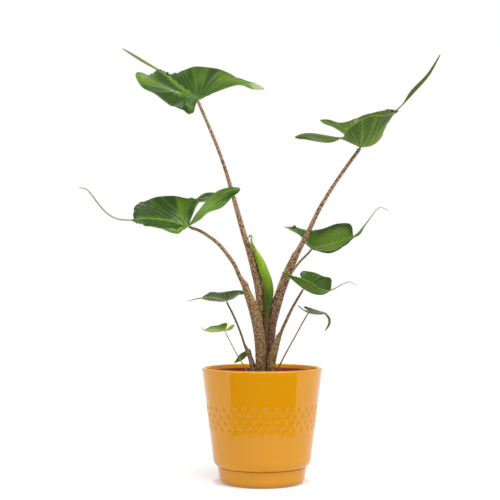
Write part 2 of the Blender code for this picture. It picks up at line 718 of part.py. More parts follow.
def build_stalks(parts):
    """Each stalk ends in a short nose, just under the place where the blade's halves and its notch meet."""
    for key, knots in STALKS.items():
        points = stem_points(knots)
        radius = points[0][3]
        joint = Vector(BLADES[key]["midrib"][0])
        down = (Vector(points[1][:3]) - joint).normalized()
        tip = joint + down * NOSE_DROP
        nose = joint + down * (NOSE_DROP + NOSE_LENGTH)
        points = [(*tip, radius * NOSE_TAPER), (*nose, radius)] + points[1:]
        bevel = THICK_BEVEL if radius > THICK_STEM else THIN_BEVEL
        stem_curve("petiole_" + key, points, bevel, parts, ("stalk_brown", STALK_BROWN))


def build_rolled_leaf(parts):
    points = stem_points(ROLLED_LEAF)
    stem_curve("rolled_leaf", points, THICK_BEVEL, parts, ("new_green", NEW_GREEN))


def build_young_leaf(parts, cutters):
    """A narrow folded blade joined to the top of its own stalk."""
    spine = YOUNG_BLADE["spine"]
    bm = bmesh.new()
    for half in ("near_half", "far_half"):
        inner = through(spine, SHEET_STEPS)
        outer = through([spine[0]] + YOUNG_BLADE[half] + [spine[-1]], SHEET_STEPS)
        v = np.linspace(0, 1, YOUNG_COLUMNS + 1)[None, :, None]
        sheet_from(bm, inner[:, None] * (1 - v) + outer[:, None] * v)
    bmesh.ops.remove_doubles(bm, verts=bm.verts, dist=MERGE)
    bmesh.ops.recalc_face_normals(bm, faces=bm.faces)
    leaf = add_mesh("young_leaf", mesh_from(bm, "young_leaf"), parts, ("leaf_green", LEAF_GREEN))
    thicken(leaf)
    stalk = stem_curve("young_stalk", stem_points(YOUNG_STALK), THIN_BEVEL, cutters)
    boolean(leaf, meshed(stalk, cutters), "UNION")


def build_soil(parts, cutters):
    """The soil fills the nursery pot. Every stem stands in a plain hole in it."""
    floor_z = LEDGE_Z + GAP + NURSERY_WALL + GAP
    top_radius = nursery_inner_radius(SOIL_EDGE_Z) - GAP
    profile = [(0, SOIL_EDGE_Z + SOIL_CROWN)]
    for i in range(1, SOIL_RINGS + 1):
        share = i / SOIL_RINGS
        profile.append((top_radius * share, SOIL_EDGE_Z + SOIL_CROWN * (1 - share * share)))
    profile += [(nursery_inner_radius(floor_z) - GAP, floor_z), (0, floor_z)]
    soil = turned("soil", profile, NURSERY_STEPS, parts, ("potting_soil", SOIL))
    stems = dict(STALKS, rolled=ROLLED_LEAF, young=YOUNG_STALK)
    for key, knots in stems.items():
        points = stem_points(knots, grow=HOLE_CLEARANCE, deeper=HOLE_CLEARANCE)
        hole = stem_curve("hole_" + key, points[-3:], THICK_BEVEL, cutters)
        boolean(soil, meshed(hole, cutters), "DIFFERENCE")


def main():
    clear_scene()
    parts = new_collection("potted_alocasia")
    cutters = new_collection("cutters", hidden=True)
    build_pot(parts, cutters)
    build_nursery_pot(parts, cutters)
    build_soil(parts, cutters)
    for key, leaf in BLADES.items():
        build_blade(key, leaf, parts)
    build_stalks(parts)
    build_rolled_leaf(parts)
    build_young_leaf(parts, cutters)
    for obj in cutters.objects:
        obj.hide_render = True
        obj.display_type = "WIRE"


main()
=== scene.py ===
# %% [markdown]
# # A potted alocasia
#
# This plant has eight leaves with long tails, a new leaf that is still rolled, and a young one. It grows
# in a plastic nursery pot that stands inside a glazed pot. The plain solids of every piece are loaded
# first. They fix where each piece is and how big it is, and every finer piece below takes the place of
# one of them.

# %% Load the frame
import math

import bpy
import numpy as np
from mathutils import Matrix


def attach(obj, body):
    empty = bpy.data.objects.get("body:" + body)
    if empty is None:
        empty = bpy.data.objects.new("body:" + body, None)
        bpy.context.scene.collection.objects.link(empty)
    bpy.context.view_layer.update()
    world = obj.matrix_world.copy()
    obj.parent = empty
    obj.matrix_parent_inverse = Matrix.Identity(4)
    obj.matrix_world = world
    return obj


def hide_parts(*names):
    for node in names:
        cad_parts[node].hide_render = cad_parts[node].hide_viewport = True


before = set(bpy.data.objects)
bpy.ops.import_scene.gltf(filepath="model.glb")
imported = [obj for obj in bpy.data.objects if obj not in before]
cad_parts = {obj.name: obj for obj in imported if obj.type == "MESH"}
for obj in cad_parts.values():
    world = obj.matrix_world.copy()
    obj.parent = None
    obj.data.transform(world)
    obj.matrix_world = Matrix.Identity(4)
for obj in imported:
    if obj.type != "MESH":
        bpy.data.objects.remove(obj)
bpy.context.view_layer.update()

MM = 0.001
print("solids loaded:", len(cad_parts))

# %% [markdown]
# ## Camera
#
# The camera is set 1.3 m away and a little above the rim of the pot, with a long lens, so the rim shows
# as a narrow ellipse, as in the photograph. The distance is a choice, because the photograph doesn't
# give it. The lens is worked out from the number of pixels that one radian covers in a picture 500
# pixels wide.

# %% Set up the camera
PHOTO_WIDTH = 500
PIXELS_PER_RADIAN = 1108.8
SENSOR = 36.0
CAMERA_PLACE = (-0.01407, -1.30, 0.2229)
CAMERA_PITCH = 2.08

camera_data = bpy.data.cameras.new("camera")
camera_data.sensor_width = SENSOR
camera_data.lens = PIXELS_PER_RADIAN / PHOTO_WIDTH * SENSOR
camera = bpy.data.objects.new("camera", camera_data)
camera.location = CAMERA_PLACE
camera.rotation_euler = (math.radians(90 + CAMERA_PITCH), 0, 0)
bpy.context.scene.collection.objects.link(camera)
bpy.context.scene.camera = camera
print("lens in mm:", round(camera_data.lens, 2))

# %% [markdown]
# ## Colours and shader maths
#
# Colours are written as the 0 to 255 values seen on screen and turned into linear light here. A finish
# is a node tree, and its maths reads best as ordinary expressions. The Wire class holds one socket and
# overloads the operators, so that `1 - mask` adds a Math node. The Finish class adds any other node with
# one method, and colours are blended with a Mix node because a Math node would turn them grey.

# %% Colour helper
def light(colour, gain=1.0):
    """Linear light, with alpha, from a screen colour of 0 to 255."""
    shares = [channel / 255 for channel in colour]
    linear = [s / 12.92 if s <= 0.04045 else ((s + 0.055) / 1.055) ** 2.4 for s in shares]
    return [min(value * gain, 1.0) for value in linear] + [1.0]


def grey(level):
    return [level] * 3 + [1]


print("mid grey is", round(light((128, 128, 128))[0], 3))


# %% Shader maths as expressions
class Wire:
    """One output socket of a finish. Sums and products of wires add Math nodes."""

    def __init__(self, finish, socket):
        self.finish = finish
        self.socket = socket

    def maths(self, operation, first, second):
        return self.finish.node("ShaderNodeMath", {"operation": operation}, {0: first, 1: second})

    def __add__(self, other):
        return self.maths("ADD", self, other)

    def __radd__(self, other):
        return self.maths("ADD", other, self)

    def __sub__(self, other):
        return self.maths("SUBTRACT", self, other)

    def __rsub__(self, other):
        return self.maths("SUBTRACT", other, self)

    def __mul__(self, other):
        return self.maths("MULTIPLY", self, other)

    def __rmul__(self, other):
        return self.maths("MULTIPLY", other, self)

    def up_to(self, other):
        return self.maths("MINIMUM", self, other)

    def at_least(self, other):
        return self.maths("MAXIMUM", self, other)


print("wires can be added, subtracted and multiplied")


# %% A finish and its nodes
class Finish:
    """A material whose nodes are added one call at a time."""

    def __init__(self, name, roughness=0.5, specular=0.5):
        self.material = bpy.data.materials.new(name)
        self.material.use_nodes = True
        self.nodes = self.material.node_tree.nodes
        self.links = self.material.node_tree.links
        self.shader = self.nodes["Principled BSDF"]
        self.shader.inputs["Roughness"].default_value = roughness
        self.shader.inputs["Specular IOR Level"].default_value = specular

    def join(self, value, socket):
        if isinstance(value, Wire):
            self.links.new(value.socket, socket)
        else:
            socket.default_value = value

    def node(self, kind, settings=None, sockets=None, output=0):
        """Adds a node, sets it up, then fills its sockets with numbers, colours or wires."""
        made = self.nodes.new(kind)
        for key, value in (settings or {}).items():
            setattr(made, key, value)
        for key, value in (sockets or {}).items():
            self.join(value, made.inputs[key])
        return Wire(self, made.outputs[output])

    def set(self, socket, value):
        self.join(value, self.shader.inputs[socket])


print("principled sockets:", len(Finish("trial").shader.inputs))
bpy.data.materials.remove(bpy.data.materials["trial"])


# %% Small node recipes
def blend(finish, share, first, second):
    """A colour that goes from first to second as share goes from 0 to 1."""
    sockets = {0: share, 6: first, 7: second}
    return finish.node("ShaderNodeMix", {"data_type": "RGBA"}, sockets, 2)


def step(finish, value, low, high):
    """A smooth rise from 0 at low to 1 at high."""
    sockets = {"Value": value, "From Min": low, "From Max": high}
    return finish.node("ShaderNodeMapRange", {"interpolation_type": "SMOOTHSTEP"}, sockets)


def noise(finish, where, scale, detail=2.0, rough=0.5):
    sockets = {"Vector": where, "Scale": scale, "Detail": detail, "Roughness": rough}
    return finish.node("ShaderNodeTexNoise", {}, sockets)


def place(finish):
    return finish.node("ShaderNodeTexCoord", {}, {}, "Object")


def attribute(finish, name, output="Fac"):
    return finish.node("ShaderNodeAttribute", {"attribute_name": name}, {}, output)


def stretch(finish, where, scale):
    return finish.node("ShaderNodeMapping", {}, {"Vector": where, "Scale": scale})


def bump(finish, height, depth):
    """Bends the shading normal by a height from 0 to 1, which stands for depth in metres."""
    sockets = {"Strength": 1.0, "Distance": depth, "Height": height}
    finish.set("Normal", finish.node("ShaderNodeBump", {}, sockets))


print("recipes: blend, step, noise, place, attribute, stretch, bump")

# %% [markdown]
# ## Light, floor and backdrop
#
# The plant stands in a white studio. What shows behind it is pure white. The light comes from two large
# panels above, the brighter one on the right, and from a wide ceiling light. A glossy pot shows what
# stands round it: the white floor on both sides, and in front a darker part of the room. A dark card
# that lies on the floor in front of the pot gives that reflection, and the camera doesn't see the card.
# The floor is pale and glows a little. A disc just wider than the foot glows less, for the shade where
# the pot touches the floor.

# %% Backdrop
ROOM_FRONT = 0.22
ROOM_BACK = 0.9
ROOM_TOP = 0.3
FRONT_TO_BACK = (-0.4, 0.5)
SIDE_TO_TOP = (0.5, 0.8)
BACKDROP_LIGHT = 1.0

scene = bpy.context.scene
scene.view_settings.view_transform = "Standard"
scene.world = bpy.data.worlds.new("studio")
scene.world.use_nodes = True
world_nodes = scene.world.node_tree.nodes
background = world_nodes["Background"]
background.inputs["Color"].default_value = (1, 1, 1, 1)
world_links = scene.world.node_tree.links
direction = world_nodes.new("ShaderNodeSeparateXYZ")
world_links.new(world_nodes.new("ShaderNodeTexCoord").outputs["Generated"], direction.inputs[0])


def room_level(value, low, high, bottom, top):
    """A room brightness that goes from bottom to top as a value goes from low to high."""
    made = world_nodes.new("ShaderNodeMapRange")
    made.interpolation_type = "SMOOTHSTEP"
    for name, limit in (("From Min", low), ("From Max", high)):
        made.inputs[name].default_value = limit
    for name, limit in (("To Min", bottom), ("To Max", top)):
        if isinstance(limit, float):
            made.inputs[name].default_value = limit
        else:
            world_links.new(limit, made.inputs[name])
    world_links.new(value, made.inputs["Value"])
    return made.outputs["Result"]


ahead = room_level(direction.outputs["Y"], *FRONT_TO_BACK, ROOM_FRONT, ROOM_BACK)
above = room_level(direction.outputs["Z"], *SIDE_TO_TOP, ahead, ROOM_TOP)
ray = world_nodes.new("ShaderNodeLightPath").outputs["Is Camera Ray"]
world_links.new(room_level(ray, 0.0, 1.0, above, BACKDROP_LIGHT), background.inputs["Strength"])
print("room light in front, behind and above:", ROOM_FRONT, ROOM_BACK, ROOM_TOP)


# %% Light panels
def panel(name, where, aim, size, power):
    """A square area light at a place in metres, turned to face another place."""
    data = bpy.data.lights.new(name, "AREA")
    data.size = size
    data.energy = power
    lamp = bpy.data.objects.new(name, data)
    lamp.location = where
    back = np.array(where) - np.array(aim)
    turn = math.atan2(back[0], -back[1])
    lean = math.atan2(math.hypot(back[0], back[1]), back[2])
    lamp.rotation_euler = (lean, 0, turn)
    scene.collection.objects.link(lamp)


PLANT_MIDDLE = (0.0, 0.0, 0.25)
PANELS = {"key_panel": ((0.9, -0.7, 1.4), 0.8, 12.0), "fill_panel": ((-1.1, -0.7, 1.2), 0.9, 5.5)}
CEILING_POWER = 2.5
CEILING_SPREAD = 48
CEILING_LEAN = 24
CEILING_ROLL = 6

for name, (where, size, power) in PANELS.items():
    panel(name, where, PLANT_MIDDLE, size, power)

sky_data = bpy.data.lights.new("ceiling_light", "SUN")
sky_data.energy = CEILING_POWER
sky_data.angle = math.radians(CEILING_SPREAD)
sky = bpy.data.objects.new("ceiling_light", sky_data)
sky.rotation_euler = (math.radians(CEILING_LEAN), math.radians(CEILING_ROLL), 0)
scene.collection.objects.link(sky)
print("light panels:", len(PANELS), "and a ceiling light that reaches the whole floor")

# %% Floor
FLOOR_RADIUS = 6.0
FLOOR_SIDES = 96
FLOOR_SHADE = 0.62
FLOOR_GRAIN = 0.02
FLOOR_GLOW = 0.44
CONTACT_START = 0.054
CONTACT_END = 0.060
CONTACT_SHADOW_GLOW = 0.58

bpy.ops.object.select_all(action="DESELECT")
bpy.ops.mesh.primitive_circle_add(vertices=FLOOR_SIDES, radius=FLOOR_RADIUS, fill_type="NGON")
floor = bpy.context.active_object
floor.name = "floor"
floor_finish = Finish("floor_white", roughness=0.9, specular=0.0)
spot = place(floor_finish)
grain = noise(floor_finish, spot, 40.0)
floor_shades = (grey(FLOOR_SHADE), grey(FLOOR_SHADE + FLOOR_GRAIN))
floor_finish.set("Base Color", blend(floor_finish, grain, *floor_shades))
from_pot = floor_finish.node("ShaderNodeVectorMath", {"operation": "LENGTH"}, {0: spot}, "Value")
# painted shadow: the floor glows less in a disc just wider than the foot, for the pot's contact shade
painted_contact_shadow = 1 - step(floor_finish, from_pot, CONTACT_START, CONTACT_END)
floor_finish.set("Emission Color", blend(floor_finish, painted_contact_shadow, grey(1), grey(CONTACT_SHADOW_GLOW)))
floor_finish.set("Emission Strength", FLOOR_GLOW)
floor.data.materials.append(floor_finish.material)
print("floor radius in m:", FLOOR_RADIUS)

# %% [markdown]
# ## Two ways to start a piece
#
# Most pieces of this plant are either turned on a wheel or are sheets and tubes that follow lines. A
# turned piece starts as a circle whose edge is extruded ring by ring up its profile. A sheet or a tube
# starts as a grid whose rows are moved onto the lines that its shape needs. A grid keeps its points in
# order, which makes the veins and the mottling easy to lay along it later.

# %% Selection helpers
def only(obj):
    """Leaves this object alone selected and active."""
    bpy.ops.object.select_all(action="DESELECT")
    obj.select_set(True)
    bpy.context.view_layer.objects.active = obj


def settle(obj, name, node):
    """Names a finished piece and gives it its place in the frame."""
    obj.name = name
    obj.data.name = name
    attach(obj, "root")
    if node:
        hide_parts(node)
    print(name, "has", len(obj.data.polygons), "faces")


def wear(obj, *finishes):
    obj.data.materials.clear()
    for finish in finishes:
        obj.data.materials.append(finish.material)


def apply_modifier(obj, kind, **settings):
    only(obj)
    modifier = obj.modifiers.new(kind.lower(), kind)
    for key, value in settings.items():
        setattr(modifier, key, value)
    bpy.ops.object.modifier_apply(modifier=modifier.name)


# %% Join and weld
MERGE = 0.00001


def joined(objects):
    """Joins several objects into the first one."""
    only(objects[0])
    for other in objects[1:]:
        other.select_set(True)
    bpy.ops.object.join()
    return objects[0]


def welded(obj):
    """Merges the points that meet and turns all faces the same way."""
    only(obj)
    bpy.ops.object.mode_set(mode="EDIT")
    bpy.ops.mesh.select_all(action="SELECT")
    bpy.ops.mesh.remove_doubles(threshold=MERGE)
    bpy.ops.mesh.normals_make_consistent(inside=False)
    bpy.ops.object.mode_set(mode="OBJECT")


print("points merge within", MERGE / MM, "mm")


# %% Read and move points
def points_of(obj):
    """The places of an object's points, in mm."""
    flat = np.empty(len(obj.data.vertices) * 3)
    obj.data.vertices.foreach_get("co", flat)
    return flat.reshape(-1, 3) / MM


def move_points(obj, places):
    obj.data.vertices.foreach_set("co", (places * MM).ravel())
    obj.data.update()


def unit_ball(subdivisions):
    """A ball of radius 1 that is to be reshaped, and its points."""
    bpy.ops.object.select_all(action="DESELECT")
    bpy.ops.mesh.primitive_ico_sphere_add(subdivisions=subdivisions, radius=1)
    ball = bpy.context.active_object
    return ball, np.array([v.co for v in ball.data.vertices])


print("helpers: joined, welded, points_of, move_points, unit_ball")


# %% Turn a profile
SHARP_ANGLE = 40


def turned(profile, sides):
    """A closed turned piece. The profile lists (radius, z) in mm, from the axis out and back to it."""
    (first_radius, first_z), *rest = profile[1:-1]
    bpy.ops.object.select_all(action="DESELECT")
    bpy.ops.mesh.primitive_circle_add(
        vertices=sides, radius=first_radius * MM, fill_type="TRIFAN", location=(0, 0, first_z * MM)
    )
    obj = bpy.context.active_object
    bpy.ops.object.transform_apply(location=True, rotation=True, scale=True)
    bpy.ops.object.mode_set(mode="EDIT")
    bpy.ops.mesh.select_mode(type="EDGE")
    bpy.ops.mesh.select_all(action="SELECT")
    bpy.ops.mesh.region_to_loop()
    radius = first_radius
    height = first_z
    for next_radius, next_height in rest:
        bpy.ops.mesh.extrude_edges_move()
        bpy.ops.transform.translate(value=(0, 0, (next_height - height) * MM))
        share = next_radius / radius
        bpy.ops.transform.resize(value=(share, share, 1), center_override=(0, 0, next_height * MM))
        radius = next_radius
        height = next_height
    bpy.ops.mesh.fill(use_beauty=False)
    bpy.ops.mesh.select_all(action="SELECT")
    bpy.ops.mesh.normals_make_consistent(inside=False)
    bpy.ops.object.mode_set(mode="OBJECT")
    bpy.ops.object.shade_smooth_by_angle(angle=math.radians(SHARP_ANGLE))
    return obj


print("turned pieces keep edges sharper than", SHARP_ANGLE, "degrees")


# %% Lay a grid on rows of points
def laid(rows):
    """A grid moved onto rows of places in mm. Returns it, and the row and column of each point."""
    down, across, _ = rows.shape
    bpy.ops.object.select_all(action="DESELECT")
    bpy.ops.mesh.primitive_grid_add(x_subdivisions=across - 1, y_subdivisions=down - 1, size=2)
    obj = bpy.context.active_object
    flat = np.empty(len(obj.data.vertices) * 3)
    obj.data.vertices.foreach_get("co", flat)
    unit = (flat.reshape(-1, 3) + 1) / 2
    column = np.rint(unit[:, 0] * (across - 1)).astype(int)
    row = np.rint(unit[:, 1] * (down - 1)).astype(int)
    move_points(obj, rows[row, column])
    return obj, row, column


def note(obj, **fields):
    """Stores numbers under a name, one for each point, for the finish to read."""
    for name, values in fields.items():
        kept = obj.data.attributes.new(name, "FLOAT", "POINT")
        kept.data.foreach_set("value", np.asarray(values, float).ravel())


def note_vector(obj, name, values):
    kept = obj.data.attributes.new(name, "FLOAT_VECTOR", "POINT")
    kept.data.foreach_set("vector", np.asarray(values, float).ravel())


print("helpers: laid, note, note_vector")


# %% Smooth lines
def through(points, steps):
    """A smooth line through the points, with so many steps from each point to the next."""
    points = np.asarray(points, float)
    ends = np.vstack([2 * points[0] - points[1], points, 2 * points[-1] - points[-2]])
    line = []
    for where in np.linspace(0, len(points) - 1, (len(points) - 1) * steps + 1):
        i = min(int(where), len(points) - 2)
        t = where - i
        a, b, c, d = ends[i : i + 4]
        slope = (c - a) * t
        bend = (2 * a - 5 * b + 4 * c - d) * t * t
        twist = (3 * b - a - 3 * c + d) * t * t * t
        line.append(0.5 * (2 * b + slope + bend + twist))
    return np.array(line)


def lengths(line):
    """Distance from the line's start to each of its points."""
    return np.concatenate([[0], np.cumsum(np.linalg.norm(np.diff(line, axis=0), axis=1))])


def units(vectors):
    size = np.linalg.norm(vectors, axis=-1, keepdims=True)
    return vectors / np.maximum(size, 1e-9)


def ease(value, low, high):
    """A smooth rise from 0 at low to 1 at high, for arrays."""
    t = np.clip((value - low) / (high - low), 0, 1)
    return t * t * (3 - 2 * t)


print("halfway up an ease:", ease(0.5, 0, 1))

# %% Dark card in front of the pot
CARD_NEAR = 222.0
CARD_FAR = 2400.0
CARD_LEFT_ANGLE = 62.0
CARD_RIGHT_ANGLE = 66.0
CARD_HEIGHT = 0.5
CARD_STEPS = 49
CARD_SHADE = 0.02

card_angle = np.linspace(-90 - CARD_LEFT_ANGLE, -90 + CARD_RIGHT_ANGLE, CARD_STEPS)
card_angle = np.radians(card_angle)[None, :]
card_radius = np.array([CARD_NEAR, CARD_FAR])[:, None]
card_rows = [card_radius * np.cos(card_angle), card_radius * np.sin(card_angle)]
card_rows.append(np.full(card_rows[0].shape, CARD_HEIGHT))
card, _, _ = laid(np.stack(card_rows, axis=2))
card.name = "dark_card"
card_finish = Finish("card_dark", roughness=1.0, specular=0.0)
card_finish.set("Base Color", grey(CARD_SHADE))
card.data.materials.append(card_finish.material)
card.visible_camera = False
card.visible_shadow = False
card.visible_diffuse = False
print("card from", CARD_NEAR, "mm to", CARD_FAR, "mm in front of the pot")

# %% [markdown]
# ## Glazed pot
#
# The pot is turned: a tapered wall with a rounded lip, a rounded shoulder and a stepped foot. A band of
# small lozenges is pressed into the wall before glazing. They could be cut with a Boolean, but glaze
# fills sharp corners, so here the wall has fine rings in the band and its points are moved in by a
# formula with softened edges.

# %% Pot sizes in mm
POT_HEIGHT = 133.0
LIP_RADIUS = 70.3
LIP_ROUND = 2.2
WALL = 4.4
SHOULDER_Z = 33.0
SHOULDER_RADIUS = 57.9
SHOULDER_BOTTOM_RADIUS = 51.6
FOOT_TOP_Z = 19.6
FOOT_TOP_RADIUS = 51.8
FOOT_GROOVE = 0.7
FOOT_BEVEL = 1.0
TOE_Z = 8.5
TOE_RADIUS = 50.2
BASE_RADIUS = 44.0
POT_FLOOR_Z = 7.0
FOOT_HOLLOW_RADIUS = 46.4
FOOT_HOLLOW_ROUND = 2.0
LEDGE_Z = 24.3
LEDGE_RADIUS = 52.4
POT_SIDES = 640
ARC_STEPS = 14
WALL_STEPS = 8
print("pot height", POT_HEIGHT, "across the lip", 2 * LIP_RADIUS)


# %% Pot profile
def arc(centre, radius, start, end, count):
    """Points on an arc, with angles in degrees from outwards towards upwards."""
    turn = [math.radians(start + (end - start) * i / count) for i in range(count + 1)]
    return [(centre[0] + radius * math.cos(a), centre[1] + radius * math.sin(a)) for a in turn]


def quarter_round(start, end, count):
    """A quarter of an ellipse that leaves start straight down and arrives at end level."""
    turn = [math.pi / 2 * i / count for i in range(count + 1)]
    across = start[0] - end[0]
    down = start[1] - end[1]
    return [(end[0] + across * math.cos(a), start[1] - down * math.sin(a)) for a in turn]


def wall_radius(z):
    share = (z - SHOULDER_Z) / (POT_HEIGHT - LIP_ROUND - SHOULDER_Z)
    return SHOULDER_RADIUS + share * (LIP_RADIUS - SHOULDER_RADIUS)


def wall_line(top, bottom, count):
    return [(wall_radius(z), z) for z in np.linspace(top, bottom, count + 1)[1:-1]]


print("wall radius halfway up:", round(wall_radius(POT_HEIGHT / 2), 1))


# %% Lozenge band
LOZENGE_ROWS_Z = (89.0, 81.4, 73.8, 66.2)
LOZENGES_ROUND = 32
LOZENGE_PHASE = 0.35
LOZENGE_HALF_WIDTH = 4.0
LOZENGE_HALF_HEIGHT = 4.9
LOZENGE_DEPTH = 1.2
LOZENGE_SOFTNESS = 0.05
BAND_MARGIN = 6.0
BAND_STEPS = 56


def soft_size(value, softness):
    """The size of a number, rounded off near zero."""
    return np.sqrt(value * value + softness * softness) - softness


def lozenge_depth(points):
    """How far in each point of the wall is pressed, in mm."""
    turn = np.arctan2(points[:, 1], points[:, 0])
    radius = np.hypot(points[:, 0], points[:, 1])
    depth = np.zeros(len(points))
    pitch = 2 * math.pi / LOZENGES_ROUND
    for row, z in enumerate(LOZENGE_ROWS_Z):
        place_round = turn / pitch - LOZENGE_PHASE - 0.5 * (row % 2)
        across = (place_round - np.rint(place_round)) * pitch * radius
        height = points[:, 2] - z
        rise = 1 - soft_size(across / LOZENGE_HALF_WIDTH, LOZENGE_SOFTNESS)
        rise = rise - soft_size(height / LOZENGE_HALF_HEIGHT, LOZENGE_SOFTNESS)
        rise = 0.5 * (rise + np.sqrt(rise * rise + LOZENGE_SOFTNESS**2)) - 0.25 * LOZENGE_SOFTNESS**2
        depth = depth + LOZENGE_DEPTH * np.maximum(rise, 0)
    return depth


print("lozenges:", LOZENGES_ROUND * len(LOZENGE_ROWS_Z))


# %% Make the pot
band_top = LOZENGE_ROWS_Z[0] + BAND_MARGIN
band_bottom = LOZENGE_ROWS_Z[-1] - BAND_MARGIN
lip_z = POT_HEIGHT - LIP_ROUND
inner_foot = [
    (0, POT_FLOOR_Z),
    (FOOT_HOLLOW_RADIUS - FOOT_HOLLOW_ROUND, POT_FLOOR_Z),
    (FOOT_HOLLOW_RADIUS, POT_FLOOR_Z + FOOT_HOLLOW_ROUND),
    (FOOT_HOLLOW_RADIUS, LEDGE_Z),
    (LEDGE_RADIUS, LEDGE_Z),
    (SHOULDER_RADIUS - WALL, SHOULDER_Z),
]
lip = arc((LIP_RADIUS - LIP_ROUND, lip_z), LIP_ROUND, 180, 0, ARC_STEPS)
outer_wall = wall_line(lip_z, band_top, WALL_STEPS) + wall_line(band_top + 0.3, band_bottom, BAND_STEPS)
outer_wall = outer_wall + wall_line(band_bottom, SHOULDER_Z, WALL_STEPS)
shoulder = quarter_round((SHOULDER_RADIUS, SHOULDER_Z), (SHOULDER_BOTTOM_RADIUS, FOOT_TOP_Z), ARC_STEPS)
groove = [(FOOT_TOP_RADIUS - FOOT_GROOVE, FOOT_TOP_Z), (FOOT_TOP_RADIUS, FOOT_TOP_Z - FOOT_BEVEL)]
toe = quarter_round((TOE_RADIUS, TOE_Z), (BASE_RADIUS, 0), ARC_STEPS)
pot = turned(inner_foot + lip + outer_wall + shoulder + groove + toe + [(0, 0)], POT_SIDES)

places = points_of(pot)
radius = np.hypot(places[:, 0], places[:, 1])
outside = radius > wall_radius(places[:, 2]) - WALL / 2
pressed = lozenge_depth(places) * outside / np.maximum(radius, 1)
places[:, :2] *= 1 - pressed[:, None]
move_points(pot, places)
within = radius < wall_radius(places[:, 2]) - WALL / 2
note(pot, inside=within & (places[:, 2] > SHOULDER_Z - 1))
print("deepest lozenge in mm:", round(float((pressed * radius).max()), 2))

# %% [markdown]
# The glaze is a clear warm amber over a smooth body, and it has faint specks. Its colour is painted lighter
# on the inner wall, for the light that falls there, and that wall is marked by a value stored on the mesh.
# The gloss needs no coat: a smooth Principled surface already shows sharp reflections.

# %% Amber glaze
GLAZE_AMBER = light((197, 131, 1))
GLAZE_LIGHT = light((203, 138, 5))
GLAZE_DEEP = light((186, 112, 1))
GLAZE_INNER_PAINTED_LIGHT = light((255, 178, 14))
SPECK_LEVELS = (0.70, 0.78)
SPECK_STRENGTH = 0.35

glaze = Finish("amber_glaze", roughness=0.07, specular=0.38)
spot = place(glaze)
drift = noise(glaze, spot, 18.0, 3.0)
specks = step(glaze, noise(glaze, spot, 900.0, 2.0), *SPECK_LEVELS)
body = blend(glaze, drift, GLAZE_AMBER, GLAZE_LIGHT)
# painted light: the inner wall takes a lighter, more orange glaze colour for the light that falls into the
# pot
body = blend(glaze, attribute(glaze, "inside"), body, GLAZE_INNER_PAINTED_LIGHT)
glaze.set("Base Color", blend(glaze, specks * SPECK_STRENGTH, body, GLAZE_DEEP))
glaze.set("Roughness", 0.06 + 0.05 * drift)
bump(glaze, noise(glaze, spot, 160.0, 1.0), 0.00004)
wear(pot, glaze)
settle(pot, "glazed_pot", "pot")

# %% [markdown]
# ## Nursery pot
#
# The plant was grown in a thin plastic pot. It stands on the ledge inside the glazed pot and shows only
# as a dark red-brown rim. It is turned too, and the drain holes in its floor are cut with cylinders.

# %% Make the nursery pot
GAP = 0.3
NURSERY_BASE_RADIUS = 48.6
NURSERY_TOP_Z = 129.0
NURSERY_RIM_RADIUS = 60.0
NURSERY_RIM_HEIGHT = 8.0
NURSERY_RIM_WIDTH = 1.6
NURSERY_NECK_RADIUS = 58.2
NURSERY_WALL = 1.3
DRAIN_HOLES = 6
DRAIN_RADIUS = 4.0
DRAIN_CIRCLE = 32.0
DRAIN_SIDES = 24
DRILL_LENGTH = 10.0
NURSERY_SIDES = 160

foot_z = LEDGE_Z + GAP
neck_z = NURSERY_TOP_Z - NURSERY_RIM_HEIGHT


def nursery_inner_radius(z):
    share = (z - foot_z) / (neck_z - foot_z)
    return NURSERY_BASE_RADIUS + share * (NURSERY_NECK_RADIUS - NURSERY_BASE_RADIUS) - NURSERY_WALL


rim_half = NURSERY_RIM_WIDTH / 2
rim_centre = (NURSERY_RIM_RADIUS - rim_half, NURSERY_TOP_Z - rim_half)
nursery_profile = [
    (0, foot_z + NURSERY_WALL),
    (nursery_inner_radius(foot_z), foot_z + NURSERY_WALL),
    (nursery_inner_radius(neck_z), neck_z),
    *arc(rim_centre, rim_half, 180, 0, 8),
    (NURSERY_RIM_RADIUS, neck_z),
    (NURSERY_NECK_RADIUS, neck_z),
    (NURSERY_BASE_RADIUS, foot_z + rim_half),
    (NURSERY_BASE_RADIUS - rim_half, foot_z),
    (0, foot_z),
]
nursery_pot = turned(nursery_profile, NURSERY_SIDES)
print("nursery pot", NURSERY_TOP_Z - foot_z, "mm high")

# %% Cut its drain holes
drills = []
for i in range(DRAIN_HOLES):
    turn = 2 * math.pi * i / DRAIN_HOLES
    where = (math.cos(turn) * DRAIN_CIRCLE * MM, math.sin(turn) * DRAIN_CIRCLE * MM, foot_z * MM)
    bpy.ops.object.select_all(action="DESELECT")
    bpy.ops.mesh.primitive_cylinder_add(
        vertices=DRAIN_SIDES, radius=DRAIN_RADIUS * MM, depth=DRILL_LENGTH * MM, location=where
    )
    drills.append(bpy.context.active_object)
drill = joined(drills)
apply_modifier(nursery_pot, "BOOLEAN", operation="DIFFERENCE", object=drill)
bpy.data.objects.remove(drill)
print("drain holes:", DRAIN_HOLES)

# %% Nursery plastic
PLASTIC_RED = light((186, 70, 22))
PLASTIC_DARK = light((136, 44, 14))
SCUFF_STRETCH = (1, 1, 0.15)

plastic = Finish("nursery_plastic_finish", roughness=0.42)
scuffs = noise(plastic, stretch(plastic, place(plastic), SCUFF_STRETCH), 320.0, 4.0)
plastic.set("Base Color", blend(plastic, step(plastic, scuffs, 0.35, 0.7), PLASTIC_RED, PLASTIC_DARK))
plastic.set("Roughness", 0.34 + 0.22 * scuffs)
bump(plastic, scuffs, 0.00006)
wear(nursery_pot, plastic)
settle(nursery_pot, "grow_pot", "nursery_pot")

# %% [markdown]
# ## Potting soil
#
# Potting mix is a coarse, crumbly surface of dark peat with bark chips and a few white grains. The bed
# is one turned solid whose top is raised and lowered by waves, and loose crumbs are scattered over it as
# one mesh. Each is a small ball of few faces, squashed and turned at random with a fixed seed.

